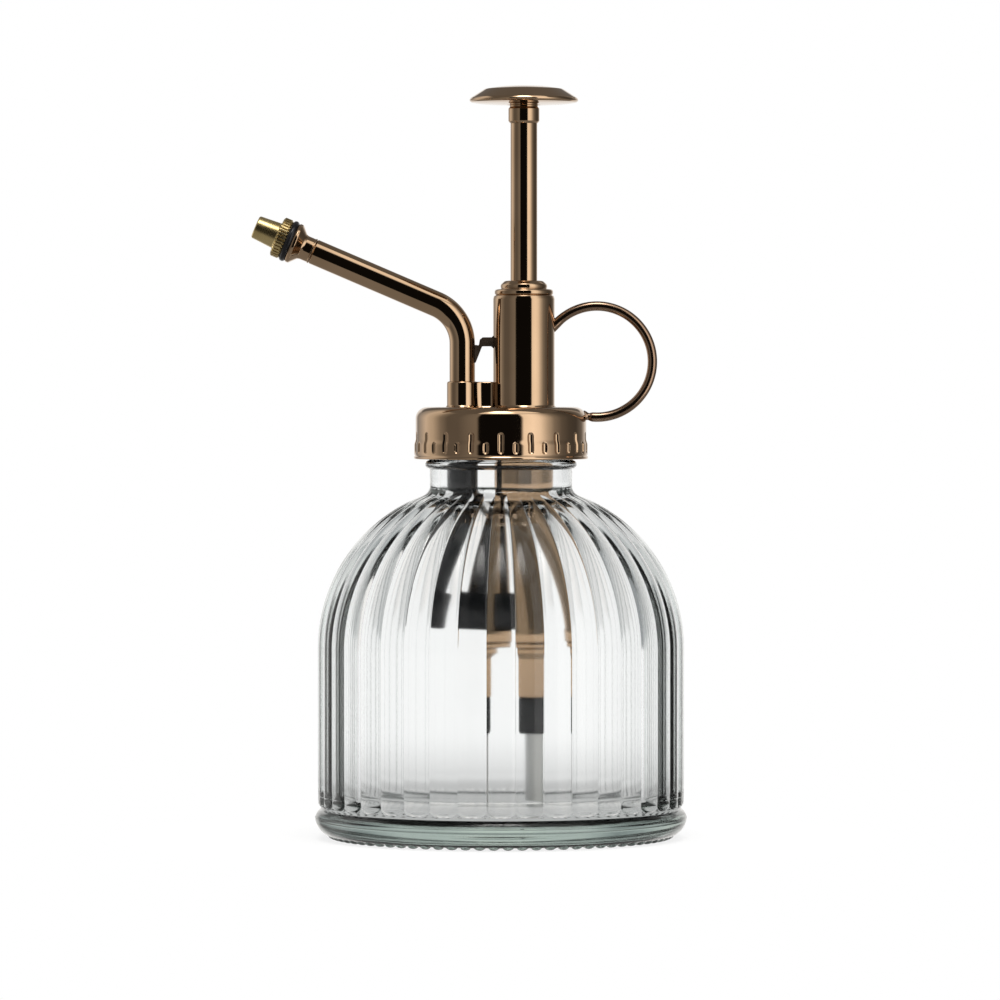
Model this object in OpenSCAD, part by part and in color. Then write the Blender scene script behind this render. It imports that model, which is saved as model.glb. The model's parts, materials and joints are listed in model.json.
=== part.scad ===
// Hand mister: a fluted glass bottle with a screw-on plunger pump.
// Millimetres, +Z up. The origin is the centre of the bottle's resting face,
// the spout points to -X and the finger ring to +X.

/* [Bottle] */
// Outer radius of the fluted body, over the ribs
body_r = 38.4; // [37.6:0.1:39.4]
// Radius of the arc that forms the domed shoulders
dome_r = 34; // [33:0.1:34.6]
// Height at which the straight body turns into the dome
dome_z = 40; // [38:0.1:41]
// Thickness of the glass wall
glass_wall = 3; // [2.6:0.1:3.4]
// Height of the inner floor
floor_z = 5.6; // [5:0.1:6.4]
// Height of the thick ring around the base
base_ring_h = 6.3; // [6:0.1:7]
// How far the base ring stands proud of the ribs
base_ring_proud = 0.6; // [0.4:0.1:1]
// Number of flutes around the body
flutes = 40; // [30:1:44]
// Depth of each flute's groove
flute_depth = 0.5; // [0.3:0.05:0.6]
// Outer radius of the plain neck
neck_r = 14.9; // [14.7:0.1:15]
// Radius of the neck's bore
neck_bore_r = 13; // [12.8:0.1:13.2]

/* [Screw thread] */
// Rise of the bottle's thread in one turn
thread_pitch = 4; // [3.8:0.1:4.4]
// Turns of thread on the bottle
thread_turns = 1.25; // [1:0.05:1.3]

/* [Cap] */
// Height of the cap's lower edge
cap_z = 79.5; // [79.4:0.1:79.8]
// Height of the cap's top face
cap_top_z = 90.4; // [90.2:0.1:90.8]
// Outer radius of the cap
cap_r = 17.9; // [17.7:0.1:18.4]
// Thickness of the cap's metal
cap_wall = 1; // [0.8:0.05:1.1]
// Number of long grip ribs; as many short ones stand between them
cap_ribs = 18; // [12:1:20]

/* [Pump] */
// Distance of the pump's axis from the bottle's axis
pump_x = 4.8; // [4.6:0.1:5]
// Outer radius of the barrel above the cap
barrel_r = 6.45; // [6.4:0.05:6.6]
// Height of the barrel's top edge
barrel_top_z = 113.8; // [112:0.1:116]
// Radius of the barrel's bore
barrel_bore_r = 5.4; // [5.3:0.05:5.5]
// Radius of the plunger rod
rod_r = 2.8; // [2.6:0.05:2.9]
// Length of rod that shows above the gland nut
rod_show = 32.9; // [31:0.1:36]
// Travel of the plunger
stroke = 28; // [24:1:30]
// Radius of the push knob
knob_r = 11.5; // [10.5:0.1:12.5]
// Turns in the return spring
spring_turns = 14; // [10:1:16]

/* [Spout] */
// Distance of the spout's upright from the bottle's axis
spout_x = 8.1; // [8:0.1:8.3]
// Outer radius of the spout tube
spout_r = 2.7; // [2.6:0.05:2.75]
// Angle of the spout's arm above the horizontal
spout_rise = 23.2; // [15:0.1:30]
// Centreline radius of the spout's bend
bend_r = 9; // [7.5:0.1:9.5]
// Height at which the upright's and the arm's centrelines would cross
corner_z = 109.6; // [109:0.1:112]
// Length from that crossing to the nozzle's tip
arm_l = 47.1; // [40:0.1:52]

/* [Finger ring] */
// Centreline radius of the ring
ring_r = 11.64; // [11.3:0.02:12]
// Radius of the ring's wire
wire_r = 1; // [0.8:0.05:1.2]

/* [Valves and tubes] */
// Outer radius of the riser tube
riser_r = 3.25; // [3.1:0.05:3.3]
// Radius of the inlet valve's ball
inlet_ball_r = 2; // [1.9:0.02:2.1]
// Radius of the outlet valve's ball
outlet_ball_r = 1.5; // [1.4:0.02:1.6]
// Outer radius of the dip tube
dip_r = 2; // [1.8:0.05:2.2]
// Height of the dip tube's lower end
dip_z = 6.8; // [6.6:0.1:14]

/* [Hidden] */
$fn = 72;
eps = 0.01;

// Clearances: a running fit, and a ball resting on its seat.
running = 0.06;
ball_gap = 0.02;

// Bottle
dome_cr = body_r - dome_r;
base_ring_r = body_r + base_ring_proud;
heel_r = 4;
ring_edge_r = 2.5;
ring_edge_z = base_ring_h - 1.9;
push_up_r = 29.5;
push_up_h = 2.5;
push_up_arc = (push_up_r * push_up_r + push_up_h * push_up_h) / (2 * push_up_h);
inner_corner_r = 4.5;
neck_fillet_r = 1.5;
bead_r = 0.8;
bead_z = 78.4;
groove_r = 1;
groove_runout = 10;
groove_batch = 8;

// Gasket and cap stack, from the cap's top face down
gasket_h = 1;
cap_plate_z = cap_top_z - cap_wall;
lip_z = cap_plate_z - gasket_h;
gasket_bore_r = neck_bore_r - 0.4;
gasket_r = 15.2;
cap_fillet_r = 2.4;
cap_skirt_z = 83;
cap_skirt_r = cap_r + 0.3;
rib_r = 0.55;
rib_foot_z = 80.9;
rib_short_z = 83.1;
rib_long_z = 85.1;
vent_r = 0.5;

// Screw thread: the cap's ridge runs below the bottle's ridge, with play
thread_z = 82;
thread_crest_r = 16.1;
cap_thread_crest_r = neck_r + 0.4;
thread_offset = 1.3;

// Barrel, gland nut and clamp nut
barrel_low_r = barrel_r - 0.25;
barrel_foot_z = 41.1;
barrel_ring_z = 43.9;
nut_corner_r = 7.6;
nut_h = 3;
gland_spigot_h = 6.2;
gland_step_r = 6.1;
gland_step_h = 1.4;
gland_dome_r = 4.87;
gland_top_z = barrel_top_z + 3.1;
gland_bore_r = rod_r + running;
seal_pocket_r = 4.2;
seal_pocket_h = 2.5;
seal_h = 2;
gland_foot_z = barrel_top_z - gland_spigot_h;

// Plunger, from the piston up
piston_top_z = gland_foot_z - 0.1;
piston_h = 9.5;
piston_z = piston_top_z - piston_h;
piston_r = barrel_bore_r - 0.08;
piston_seal_section = 0.9;
piston_seal_z = piston_z + piston_h / 2;
stud_r = 1.5;
piston_nut_h = 2.4;
ferrule_z = gland_top_z + rod_show;
ferrule_h = 3.9;
ferrule_r = 3.25;
knob_stud_r = 2;
knob_hub_z = ferrule_z + ferrule_h;
knob_rim_z = knob_hub_z - 0.1;
knob_top_z = knob_hub_z + 3.9;

// Springs
spring_wire_r = 0.45;
spring_r = 4.3;
outlet_spring_wire_r = 0.15;
outlet_spring_r = 1.3;
outlet_spring_turns = 6;

// Turret and spout
turret_h = 5.4;
collar_r = 3.3;
web_w = 3;
spigot_r = 2.3;
spout_seat_z = cap_top_z + 1;
spigot_foot_z = 84;
spout_bore_r = 1.6;
bend_angle = 90 - spout_rise;
bend_tangent = bend_r * tan(bend_angle / 2);
bend_z = corner_z - bend_tangent;
run_overlap = 0.05;
run_step = 0.01;
brace_z = 103.1;
brace_h = 1.9;
brace_w = 2.4;
brace_tail_h = 3.5;
brace_tail_t = 1.1;

// Fitting and nozzle: distances back from the nozzle's tip
orifice_r = 0.35;
nozzle_tip_r = 2.43;
nozzle_root_r = 2.78;
flange_from = 4.94;
flange_to = 6.95;
nozzle_flange_r = 4.3;
knurl_cuts = 34;
knurl_r = 0.26;
nozzle_bore_r = 2.08;
stub_r = 2;
stub_from = 2.8;
oring_section = 0.72;
oring_r = 3.75;
bell_from = 8.4;
bell_r = 4.32;
bell_t = 0.9;
neck_to = 12.5;
fitting_neck_r = spout_r - 0.08;
fitting_spigot_to = 16;
fitting_bore_r = 0.9;

// Finger ring
ring_x = 20.1;
ring_z = 99.9;
ring_from = -109;
ring_sweep = 253;

// Valve block, riser, foot valve and adapter
foot_spigot_z = 44;
port_z = 45.6;
port_r = 1.1;
saddle_w = 9.6;
saddle_x = 0.4;
boss_r = 4.2;
block_top_z = 51.5;
outlet_seat_z = 46.9;
outlet_seat_r = 1;
outlet_chamber_r = 1.9;
outlet_ball_z = outlet_seat_z + sqrt(pow(outlet_ball_r, 2) - 1) + ball_gap;
riser_foot_z = 49.6;
riser_bore_r = 1.1;
outlet_stop_z = 55;
foot_z = 29.6;
foot_r = 3.5;
foot_flange_h = 1;
inlet_seat_z = 37.5;
inlet_seat_r = 1.5;
inlet_chamber_r = 2.5;
inlet_ball_z = inlet_seat_z + sqrt(pow(inlet_ball_r, 2) - pow(inlet_seat_r, 2)) + ball_gap;
retainer_z = 42.4;
retainer_h = 0.8;
nipple_r = 2.4;
nipple_z = 25.4;
adapter_z = 22;
adapter_r = 3.3;
adapter_stop_z = 24.8;
dip_bore_r = dip_r - 0.6;

// ---------------------------------------------------------------- helpers

// Rectangle from its lower left to its upper right corner.
module box2(x1, z1, x2, z2) {
    translate([x1, z1])
        square([x2 - x1, z2 - z1]);
}

// Circle of a given radius about a point.
module dot2(x, z, r) {
    translate([x, z])
        circle(r);
}

// Straight cylinder about the Z axis between two heights.
module post(z1, z2, r) {
    translate([0, 0, z1])
        cylinder(h = z2 - z1, r = r);
}

// Places its children on the pump's axis, the riser's axis, or the spout's arm.
module on_pump() {
    translate([pump_x, 0, 0])
        children();
}
module on_riser() {
    translate([-spout_x, 0, 0])
        children();
}
// Here Z = 0 is the nozzle's tip and +Z runs back along the arm.
module on_nozzle() {
    translate([-spout_x, 0, corner_z])
        rotate([0, -bend_angle, 0])
            translate([0, 0, arm_l])
                mirror([0, 0, 1])
                    children();
}

// Corners of a round wire section with the given number of sides.
function round_section(r, sides) = [
    for (i = [0 : sides - 1]) [r * cos(360 * i / sides), r * sin(360 * i / sides)]
];

// Sweeps a small section, given as [radial, axial] points that run
// anticlockwise, along a helix about Z.
module helix(section, radius, z_start, pitch, a_start, a_end, a_step) {
    count = len(section);
    steps = ceil((a_end - a_start) / a_step);
    rings = [
        for (i = [0 : steps], p = section)
            let (a = a_start + (a_end - a_start) * i / steps)
                [(radius + p[0]) * cos(a), (radius + p[0]) * sin(a), z_start + pitch * a / 360 + p[1]]
    ];
    sides = [
        for (i = [0 : steps - 1], k = [0 : count - 1])
            let (n = (k + 1) % count, low = i * count, high = (i + 1) * count)
                each [[low + k, high + n, high + k], [low + k, low + n, high + n]]
    ];
    first = [for (k = [count - 1 : -1 : 0]) k];
    last = [for (k = [0 : count - 1]) steps * count + k];
    polyhedron(points = rings, faces = concat([first], sides, [last]));
}

// Trapezoid thread ridge: half widths at the root and at the crest.
function ridge_section(root_half, crest_half, depth) = [
    [0, -root_half], [depth, -crest_half], [depth, crest_half], [0, root_half]
];

// The spout's centreline swept with a round section: upright, bend and arm,
// from z_foot up to a length along the arm. The straight runs are a hair
// thinner and enter the bend, so that the three join into one body.
module spout_path(r, z_foot, z_arm) {
    on_riser()
        post(z_foot, bend_z + run_overlap, r - run_step);
    translate([-spout_x - bend_r, 0, bend_z])
        rotate([90, 0, 0])
            rotate_extrude(angle = bend_angle)
                dot2(bend_r, 0, r);
    translate([-spout_x, 0, corner_z])
        rotate([0, -bend_angle, 0])
            post(bend_tangent - run_overlap, z_arm, r - run_step);
}

// Upper half of the bottle's dome, as a half section of the given radius.
module dome_section(r) {
    intersection() {
        dot2(dome_cr, dome_z, r);
        box2(0, dome_z - eps, dome_cr + r + 1, dome_z + r + 1);
    }
}

// ----------------------------------------------------------------- bottle

// Half section of the outside: base ring, wall, dome, filleted neck, bead.
module bottle_outside() {
    fillet_x = neck_r + neck_fillet_r;
    fillet_z = dome_z + sqrt(pow(dome_r + neck_fillet_r, 2) - pow(fillet_x - dome_cr, 2));
    along = dome_r / (dome_r + neck_fillet_r);
    touch_x = dome_cr + (fillet_x - dome_cr) * along;
    touch_z = dome_z + (fillet_z - dome_z) * along;

    box2(0, 0, base_ring_r - heel_r, base_ring_h);
    dot2(base_ring_r - heel_r, heel_r, heel_r);
    box2(base_ring_r - heel_r, heel_r - eps, base_ring_r, ring_edge_z + eps);
    dot2(base_ring_r - ring_edge_r, ring_edge_z, ring_edge_r);
    box2(0, ring_edge_z, body_r, dome_z);
    dome_section(dome_r);
    box2(0, dome_z, neck_r, lip_z);
    dot2(neck_r + 0.2, bead_z, bead_r);
    difference() {
        polygon([
            [neck_r - 1, touch_z - 1], [touch_x, touch_z],
            [fillet_x, fillet_z], [neck_r - 1, fillet_z]
        ]);
        dot2(fillet_x, fillet_z, neck_fillet_r);
    }
}

// Half section of the inside: floor with a rounded corner, wall, dome, bore.
module bottle_inside() {
    r = body_r - glass_wall;
    box2(0, floor_z, r - inner_corner_r, dome_z);
    dot2(r - inner_corner_r, floor_z + inner_corner_r, inner_corner_r);
    box2(0, floor_z + inner_corner_r, r, dome_z);
    dome_section(dome_r - glass_wall);
    box2(0, dome_z, neck_bore_r, lip_z + 1);
}

// One groove up the wall. It runs out by itself where the dome leans away.
module flute_groove() {
    translate([body_r + groove_r - flute_depth, 0, 0])
        post(base_ring_h + 0.5, dome_z + groove_runout, groove_r);
}

// The turned bottle with its first grooves cut, a few at a time.
module fluted_body(grooves) {
    first = max(0, grooves - groove_batch);
    if (grooves == 0)
        rotate_extrude()
            difference() {
                bottle_outside();
                bottle_inside();
                dot2(0, push_up_h - push_up_arc, push_up_arc, $fn = 360);
            }
    else
        difference() {
            fluted_body(first);
            for (i = [first : grooves - 1])
                rotate([0, 0, (i + 0.5) * 360 / flutes])
                    flute_groove();
        }
}

module bottle() {
    color([0.86, 0.9, 0.9, 0.35])
        union() {
            fluted_body(flutes);
            helix(ridge_section(0.95, 0.4, thread_crest_r - neck_r + 0.2),
                  neck_r - 0.2, thread_z, thread_pitch, 0, 360 * thread_turns, 10);
        }
}

// -------------------------------------------------------------------- cap

module cap_gasket() {
    color([0.12, 0.12, 0.12])
        difference() {
            post(lip_z, cap_plate_z, gasket_r);
            post(lip_z - 1, cap_plate_z + 1, gasket_bore_r);
        }
}

// Half section of the cap's outside: skirt, side and rounded shoulder.
module cap_outside() {
    box2(0, cap_z, cap_skirt_r, cap_skirt_z);
    box2(0, cap_z, cap_r, cap_top_z - cap_fillet_r);
    dot2(cap_r - cap_fillet_r, cap_top_z - cap_fillet_r, cap_fillet_r);
    box2(0, cap_z, cap_r - cap_fillet_r, cap_top_z);
}

module cap_inside() {
    inner_r = cap_r - cap_wall - 0.05;
    inner_fillet_r = cap_fillet_r - cap_wall;
    box2(0, cap_z - 1, inner_r, cap_plate_z - inner_fillet_r);
    dot2(inner_r - inner_fillet_r, cap_plate_z - inner_fillet_r, inner_fillet_r);
    box2(0, cap_z, inner_r - inner_fillet_r, cap_plate_z);
}

// A ring of grip ribs, each a half-buried upright post.
module grip_ribs(first_angle, top_z, at_r) {
    for (i = [0 : cap_ribs - 1])
        rotate([0, 0, first_angle + 360 * i / cap_ribs])
            translate([at_r, 0, 0])
                post(rib_foot_z, top_z, rib_r);
}

module screw_cap() {
    inner_r = cap_r - cap_wall - 0.05;
    depth = inner_r - cap_thread_crest_r + 0.2;
    color([0.45, 0.35, 0.27])
        difference() {
            union() {
                rotate_extrude()
                    difference() {
                        cap_outside();
                        cap_inside();
                    }
                grip_ribs(-90, rib_long_z, cap_skirt_r - 0.25);
                grip_ribs(-90 + 180 / cap_ribs, rib_short_z, cap_skirt_r - 0.25);
                helix([for (p = ridge_section(0.8, 0.35, depth)) [-p[0], -p[1]]],
                      inner_r + 0.2, thread_z - thread_offset, thread_pitch, -20, 360, 10);
            }
            on_pump()
                post(cap_plate_z - 1, cap_top_z + 1, barrel_low_r);
            on_riser()
                post(cap_plate_z - 1, cap_top_z + 1, spigot_r);
            translate([-1, 8.5, 0])
                post(cap_plate_z - 1, cap_top_z + 1, vent_r);
        }
}

// ----------------------------------------------------------- pump, outside

// Collar for the spout, tied to the barrel by an upright web.
module turret() {
    color([0.45, 0.35, 0.27])
        difference() {
            union() {
                on_riser()
                    rotate_extrude() {
                        box2(0, cap_top_z, collar_r, cap_top_z + turret_h - 0.8);
                        dot2(collar_r - 0.8, cap_top_z + turret_h - 0.8, 0.8);
                        box2(0, cap_top_z, collar_r - 0.8, cap_top_z + turret_h);
                    }
                translate([-spout_x, -web_w / 2, cap_top_z])
                    cube([spout_x + pump_x, web_w, turret_h - 0.2]);
            }
            on_pump()
                post(cap_top_z - 1, cap_top_z + turret_h + 1, barrel_r);
            on_riser()
                post(spout_seat_z, cap_top_z + turret_h + 1, spout_r);
            on_riser()
                post(cap_top_z - 1, spout_seat_z + 1, spigot_r);
        }
}

module pump_barrel() {
    color([0.45, 0.35, 0.27])
        difference() {
            on_pump()
                rotate_extrude()
                    difference() {
                        union() {
                            box2(0, barrel_foot_z, barrel_low_r, cap_top_z);
                            box2(0, barrel_foot_z, barrel_r, barrel_ring_z);
                            box2(0, cap_top_z, barrel_r, barrel_top_z - 0.5);
                            box2(0, cap_top_z, barrel_r - 0.35, barrel_top_z);
                        }
                        box2(0, barrel_foot_z - 1, barrel_bore_r, barrel_top_z + 1);
                    }
            translate([pump_x - barrel_r - 1, 0, port_z])
                rotate([0, 90, 0])
                    cylinder(h = barrel_r, r = port_r);
        }
}

module retaining_nut() {
    color([0.12, 0.12, 0.13])
        on_pump()
            difference() {
                translate([0, 0, cap_plate_z - nut_h])
                    rotate([0, 0, 30])
                        cylinder(h = nut_h, r = nut_corner_r, $fn = 6);
                post(cap_plate_z - nut_h - 1, cap_plate_z + 1, barrel_low_r);
            }
}

module gland_nut() {
    dome_edge = 1.1;
    color([0.45, 0.35, 0.27])
        on_pump()
            rotate_extrude()
                difference() {
                    union() {
                        box2(0, gland_foot_z, barrel_bore_r, barrel_top_z);
                        box2(0, barrel_top_z, gland_step_r, barrel_top_z + gland_step_h);
                        box2(0, barrel_top_z, gland_dome_r, gland_top_z - dome_edge);
                        dot2(gland_dome_r - dome_edge, gland_top_z - dome_edge, dome_edge);
                        box2(0, barrel_top_z, gland_dome_r - dome_edge, gland_top_z);
                    }
                    box2(0, gland_foot_z - 1, gland_bore_r, gland_top_z + 1);
                    box2(0, gland_foot_z - 1, seal_pocket_r, gland_foot_z + seal_pocket_h);
                }
}

module rod_seal() {
    top_z = gland_foot_z + seal_pocket_h;
    color([0.1, 0.1, 0.1])
        on_pump()
            difference() {
                post(top_z - seal_h, top_z, seal_pocket_r);
                post(top_z - seal_h - 1, top_z + 1, gland_bore_r);
            }
}

module seal_washer() {
    top_z = gland_foot_z + seal_pocket_h - seal_h;
    color([0.75, 0.75, 0.76])
        on_pump()
            difference() {
                post(gland_foot_z, top_z, seal_pocket_r);
                post(gland_foot_z - 1, top_z + 1, gland_bore_r);
            }
}

// The wire ring, cut to the barrel's side and to the cap's shoulder.
module handle_ring() {
    color([0.45, 0.35, 0.27])
        difference() {
            translate([ring_x, 0, ring_z])
                rotate([90, 0, 0])
                    rotate([0, 0, ring_from])
                        rotate_extrude(angle = ring_sweep)
                            dot2(ring_r, 0, wire_r);
            on_pump()
                post(cap_top_z, barrel_top_z, barrel_r);
            rotate_extrude()
                cap_outside();
        }
}

// ------------------------------------------------------------------ spout

module spout_tube() {
    color([0.45, 0.35, 0.27])
        difference() {
            union() {
                spout_path(spout_r, spout_seat_z, arm_l - neck_to);
                on_riser()
                    post(spigot_foot_z, spout_seat_z + 1, spigot_r);
            }
            spout_path(spout_bore_r, spigot_foot_z - 1, arm_l);
        }
}

// Arm from the barrel to the spout, with a tail down the spout's back.
module spout_brace() {
    back_x = -spout_x + spout_r;
    color([0.13, 0.11, 0.1])
        difference() {
            union() {
                translate([-spout_x, -brace_w / 2, brace_z])
                    cube([pump_x + spout_x, brace_w, brace_h]);
                translate([-spout_x, -brace_w / 2, brace_z - brace_tail_h])
                    cube([back_x + spout_x + brace_tail_t, brace_w, brace_tail_h + 1]);
            }
            on_pump()
                post(cap_top_z, barrel_top_z, barrel_r);
            spout_path(spout_r, spout_seat_z, arm_l / 2);
        }
}

// Stub, shoulder, bell flange, neck, and a spigot inside the spout tube.
module spout_fitting() {
    bell_to = bell_from + bell_t;
    flare_r = bell_r - fitting_neck_r;
    color([0.45, 0.35, 0.27])
        on_nozzle()
            rotate_extrude()
                difference() {
                    union() {
                        box2(0, stub_from, stub_r, bell_from);
                        box2(0, flange_to + 0.05, oring_r - oring_section - 0.03, bell_from);
                        box2(0, bell_from, bell_r, bell_to);
                        difference() {
                            box2(0, bell_to, bell_r, bell_to + flare_r);
                            dot2(bell_r, bell_to + flare_r, flare_r);
                        }
                        box2(0, bell_to, fitting_neck_r, neck_to);
                        box2(0, bell_to, spout_bore_r - run_step, fitting_spigot_to);
                    }
                    box2(0, 0, fitting_bore_r, fitting_spigot_to + 1);
                }
}

// Slotted core in front of the stub that sets the water spinning.
module swirl_insert() {
    color([0.8, 0.8, 0.78])
        on_nozzle()
            difference() {
                post(stub_from - 0.7, stub_from, stub_r - 0.35);
                for (a = [0 : 120 : 240])
                    rotate([0, 0, a])
                        translate([0.5, 0.6, stub_from - 1])
                            cube([2, 0.4, 2]);
            }
}

module nozzle_seal() {
    color([0.05, 0.05, 0.06])
        on_nozzle()
            translate([0, 0, bell_from - oring_section])
                rotate_extrude()
                    dot2(oring_r, 0, oring_section);
}

module nozzle() {
    color([0.72, 0.6, 0.33])
        on_nozzle()
            difference() {
                union() {
                    cylinder(h = flange_from + eps, r1 = nozzle_tip_r, r2 = nozzle_root_r);
                    translate([0, 0, flange_from])
                        linear_extrude(flange_to - flange_from)
                            difference() {
                                circle(nozzle_flange_r);
                                for (i = [0 : knurl_cuts - 1])
                                    rotate(i * 360 / knurl_cuts)
                                        dot2(nozzle_flange_r, 0, knurl_r, $fn = 16);
                            }
                }
                post(-1, 2, orifice_r);
                translate([0, 0, 0.8])
                    cylinder(h = 1.2 + eps, r1 = orifice_r, r2 = nozzle_bore_r);
                post(2, flange_to + 1, nozzle_bore_r);
            }
}

// ---------------------------------------------------------------- plunger

module knob() {
    color([0.45, 0.35, 0.27])
        on_pump()
            rotate_extrude()
                difference() {
                    union() {
                        polygon([
                            [0, knob_rim_z + 1.1], [knob_r - 2.6, knob_rim_z + 1.1],
                            [knob_r - 1.1, knob_rim_z + 0.2], [knob_r - 0.5, knob_rim_z],
                            [knob_r, knob_top_z - 3.3], [knob_r, knob_top_z - 2.75],
                            [knob_r - 1, knob_top_z - 1.6], [knob_r - 2.8, knob_top_z - 0.45],
                            [knob_r - 4.2, knob_top_z], [0, knob_top_z]
                        ]);
                        box2(0, knob_hub_z, ferrule_r - 0.25, knob_rim_z + 1.5);
                    }
                    box2(0, knob_hub_z - 1, knob_stud_r, knob_hub_z + 2);
                }
}

module knob_ferrule() {
    color([0.45, 0.35, 0.27])
        on_pump()
            rotate_extrude()
                difference() {
                    polygon([
                        [0, ferrule_z], [ferrule_r - 0.4, ferrule_z],
                        [ferrule_r, ferrule_z + 0.5], [ferrule_r, knob_hub_z],
                        [0, knob_hub_z]
                    ]);
                    box2(0, ferrule_z - 1, knob_stud_r, knob_hub_z + 1);
                }
}

module plunger_rod() {
    color([0.45, 0.35, 0.27])
        on_pump() {
            post(piston_z - piston_nut_h - 0.4, piston_top_z + eps, stud_r);
            post(piston_top_z, ferrule_z, rod_r);
            post(ferrule_z - eps, knob_hub_z + 1.8, knob_stud_r);
        }
}

module piston_head() {
    groove_h = 2 * piston_seal_section;
    color([0.85, 0.85, 0.82])
        on_pump()
            rotate_extrude()
                difference() {
                    box2(0, piston_z, piston_r, piston_top_z);
                    box2(0, piston_z - 1, stud_r, piston_top_z + 1);
                    box2(barrel_bore_r - 0.03 - groove_h, piston_seal_z - groove_h / 2,
                         piston_r + 1, piston_seal_z + groove_h / 2);
                }
}

module piston_seal() {
    section = piston_seal_section;
    color([0.05, 0.05, 0.06])
        on_pump()
            translate([0, 0, piston_seal_z])
                rotate_extrude()
                    dot2(barrel_bore_r - 0.03 - section, 0, section);
}

module piston_nut() {
    color([0.72, 0.6, 0.33])
        on_pump()
            difference() {
                translate([0, 0, piston_z - piston_nut_h])
                    cylinder(h = piston_nut_h, r = 3.18, $fn = 6);
                post(piston_z - piston_nut_h - 1, piston_z + 1, stud_r);
            }
}

module return_spring() {
    low_z = foot_spigot_z + spring_wire_r;
    length = piston_z - foot_spigot_z - 2 * spring_wire_r;
    color([0.75, 0.75, 0.76])
        on_pump()
            helix(round_section(spring_wire_r, 6), spring_r, low_z,
                  length / spring_turns, 0, 360 * spring_turns, 24);
}

// ------------------------------------------------- valves, riser, dip tube

// Boss under the riser and a saddle bonded to the barrel's side, drilled through.
module valve_block() {
    height = block_top_z - barrel_ring_z;
    color([0.08, 0.08, 0.09])
        difference() {
            union() {
                on_riser()
                    post(barrel_ring_z, block_top_z, boss_r);
                translate([-spout_x, -boss_r, barrel_ring_z])
                    cube([spout_x - 1, 2 * boss_r, height]);
                translate([-spout_x / 2, -saddle_w / 2, barrel_ring_z])
                    cube([spout_x / 2 + saddle_x, saddle_w, height]);
            }
            on_pump()
                post(barrel_ring_z - 1, block_top_z + 1, barrel_low_r);
            translate([-spout_x, 0, port_z])
                rotate([0, 90, 0])
                    cylinder(h = spout_x, r = port_r);
            on_riser() {
                post(port_z, block_top_z, outlet_seat_r);
                post(outlet_seat_z, block_top_z, outlet_chamber_r);
                post(riser_foot_z, block_top_z + 1, riser_r);
            }
        }
}

module outlet_ball() {
    color([0.82, 0.83, 0.85])
        on_riser()
            translate([0, 0, outlet_ball_z])
                sphere(outlet_ball_r);
}

module outlet_spring() {
    wire_gap = outlet_ball_r + outlet_spring_wire_r;
    low_z = outlet_ball_z + sqrt(wire_gap * wire_gap - outlet_spring_r * outlet_spring_r) + ball_gap;
    length = outlet_stop_z - outlet_spring_wire_r - low_z;
    color([0.75, 0.75, 0.76])
        on_riser()
            helix(round_section(outlet_spring_wire_r, 6), outlet_spring_r, low_z,
                  length / outlet_spring_turns, 0, 360 * outlet_spring_turns, 24);
}

module riser_tube() {
    color([0.06, 0.06, 0.07])
        on_riser()
            rotate_extrude()
                difference() {
                    box2(0, riser_foot_z, riser_r, cap_plate_z);
                    box2(0, riser_foot_z - 1, outlet_chamber_r, outlet_stop_z);
                    box2(0, riser_foot_z, riser_bore_r, cap_plate_z + 1);
                    box2(0, spigot_foot_z, spigot_r, cap_plate_z + 1);
                }
}

module foot_valve_body() {
    seat_h = inlet_chamber_r - inlet_seat_r;
    color([0.45, 0.35, 0.27])
        on_pump()
            rotate_extrude()
                difference() {
                    union() {
                        box2(0, nipple_z, nipple_r, foot_z + 1);
                        box2(0, foot_z, foot_r, barrel_foot_z);
                        box2(0, barrel_foot_z - foot_flange_h, barrel_low_r, barrel_foot_z);
                        box2(0, barrel_foot_z - 0.5, barrel_bore_r, foot_spigot_z);
                    }
                    box2(0, nipple_z - 1, inlet_seat_r, inlet_seat_z + 1);
                    polygon([
                        [0, inlet_seat_z], [inlet_seat_r, inlet_seat_z],
                        [inlet_chamber_r, inlet_seat_z + seat_h], [0, inlet_seat_z + seat_h]
                    ]);
                    box2(0, inlet_seat_z + seat_h, inlet_chamber_r, foot_spigot_z + 1);
                }
}

module inlet_ball() {
    color([0.82, 0.83, 0.85])
        on_pump()
            translate([0, 0, inlet_ball_z])
                sphere(inlet_ball_r);
}

module ball_retainer() {
    color([0.85, 0.85, 0.82])
        on_pump()
            difference() {
                post(retainer_z, retainer_z + retainer_h, inlet_chamber_r);
                for (a = [0 : 90 : 270])
                    rotate([0, 0, a])
                        translate([1.45, 0, 0])
                            post(retainer_z - 1, retainer_z + retainer_h + 1, 0.7);
            }
}

module tube_adapter() {
    color([0.06, 0.06, 0.07])
        on_pump()
            rotate_extrude()
                difference() {
                    box2(0, adapter_z, adapter_r, foot_z);
                    box2(0, adapter_z - 1, dip_r, adapter_stop_z);
                    box2(0, adapter_z, dip_bore_r, foot_z);
                    box2(0, nipple_z, nipple_r, foot_z + 1);
                }
}

// Cut on the slant below, so that it cannot seal itself against the floor.
module dip_tube() {
    color([0.85, 0.86, 0.84, 0.6])
        on_pump()
            difference() {
                post(dip_z, adapter_stop_z, dip_r);
                post(dip_z - 1, adapter_stop_z + 1, dip_bore_r);
                translate([0, 0, dip_z])
                    rotate([0, 35, 0])
                        translate([-10, -5, -10])
                            cube([20, 10, 10]);
            }
}

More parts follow.
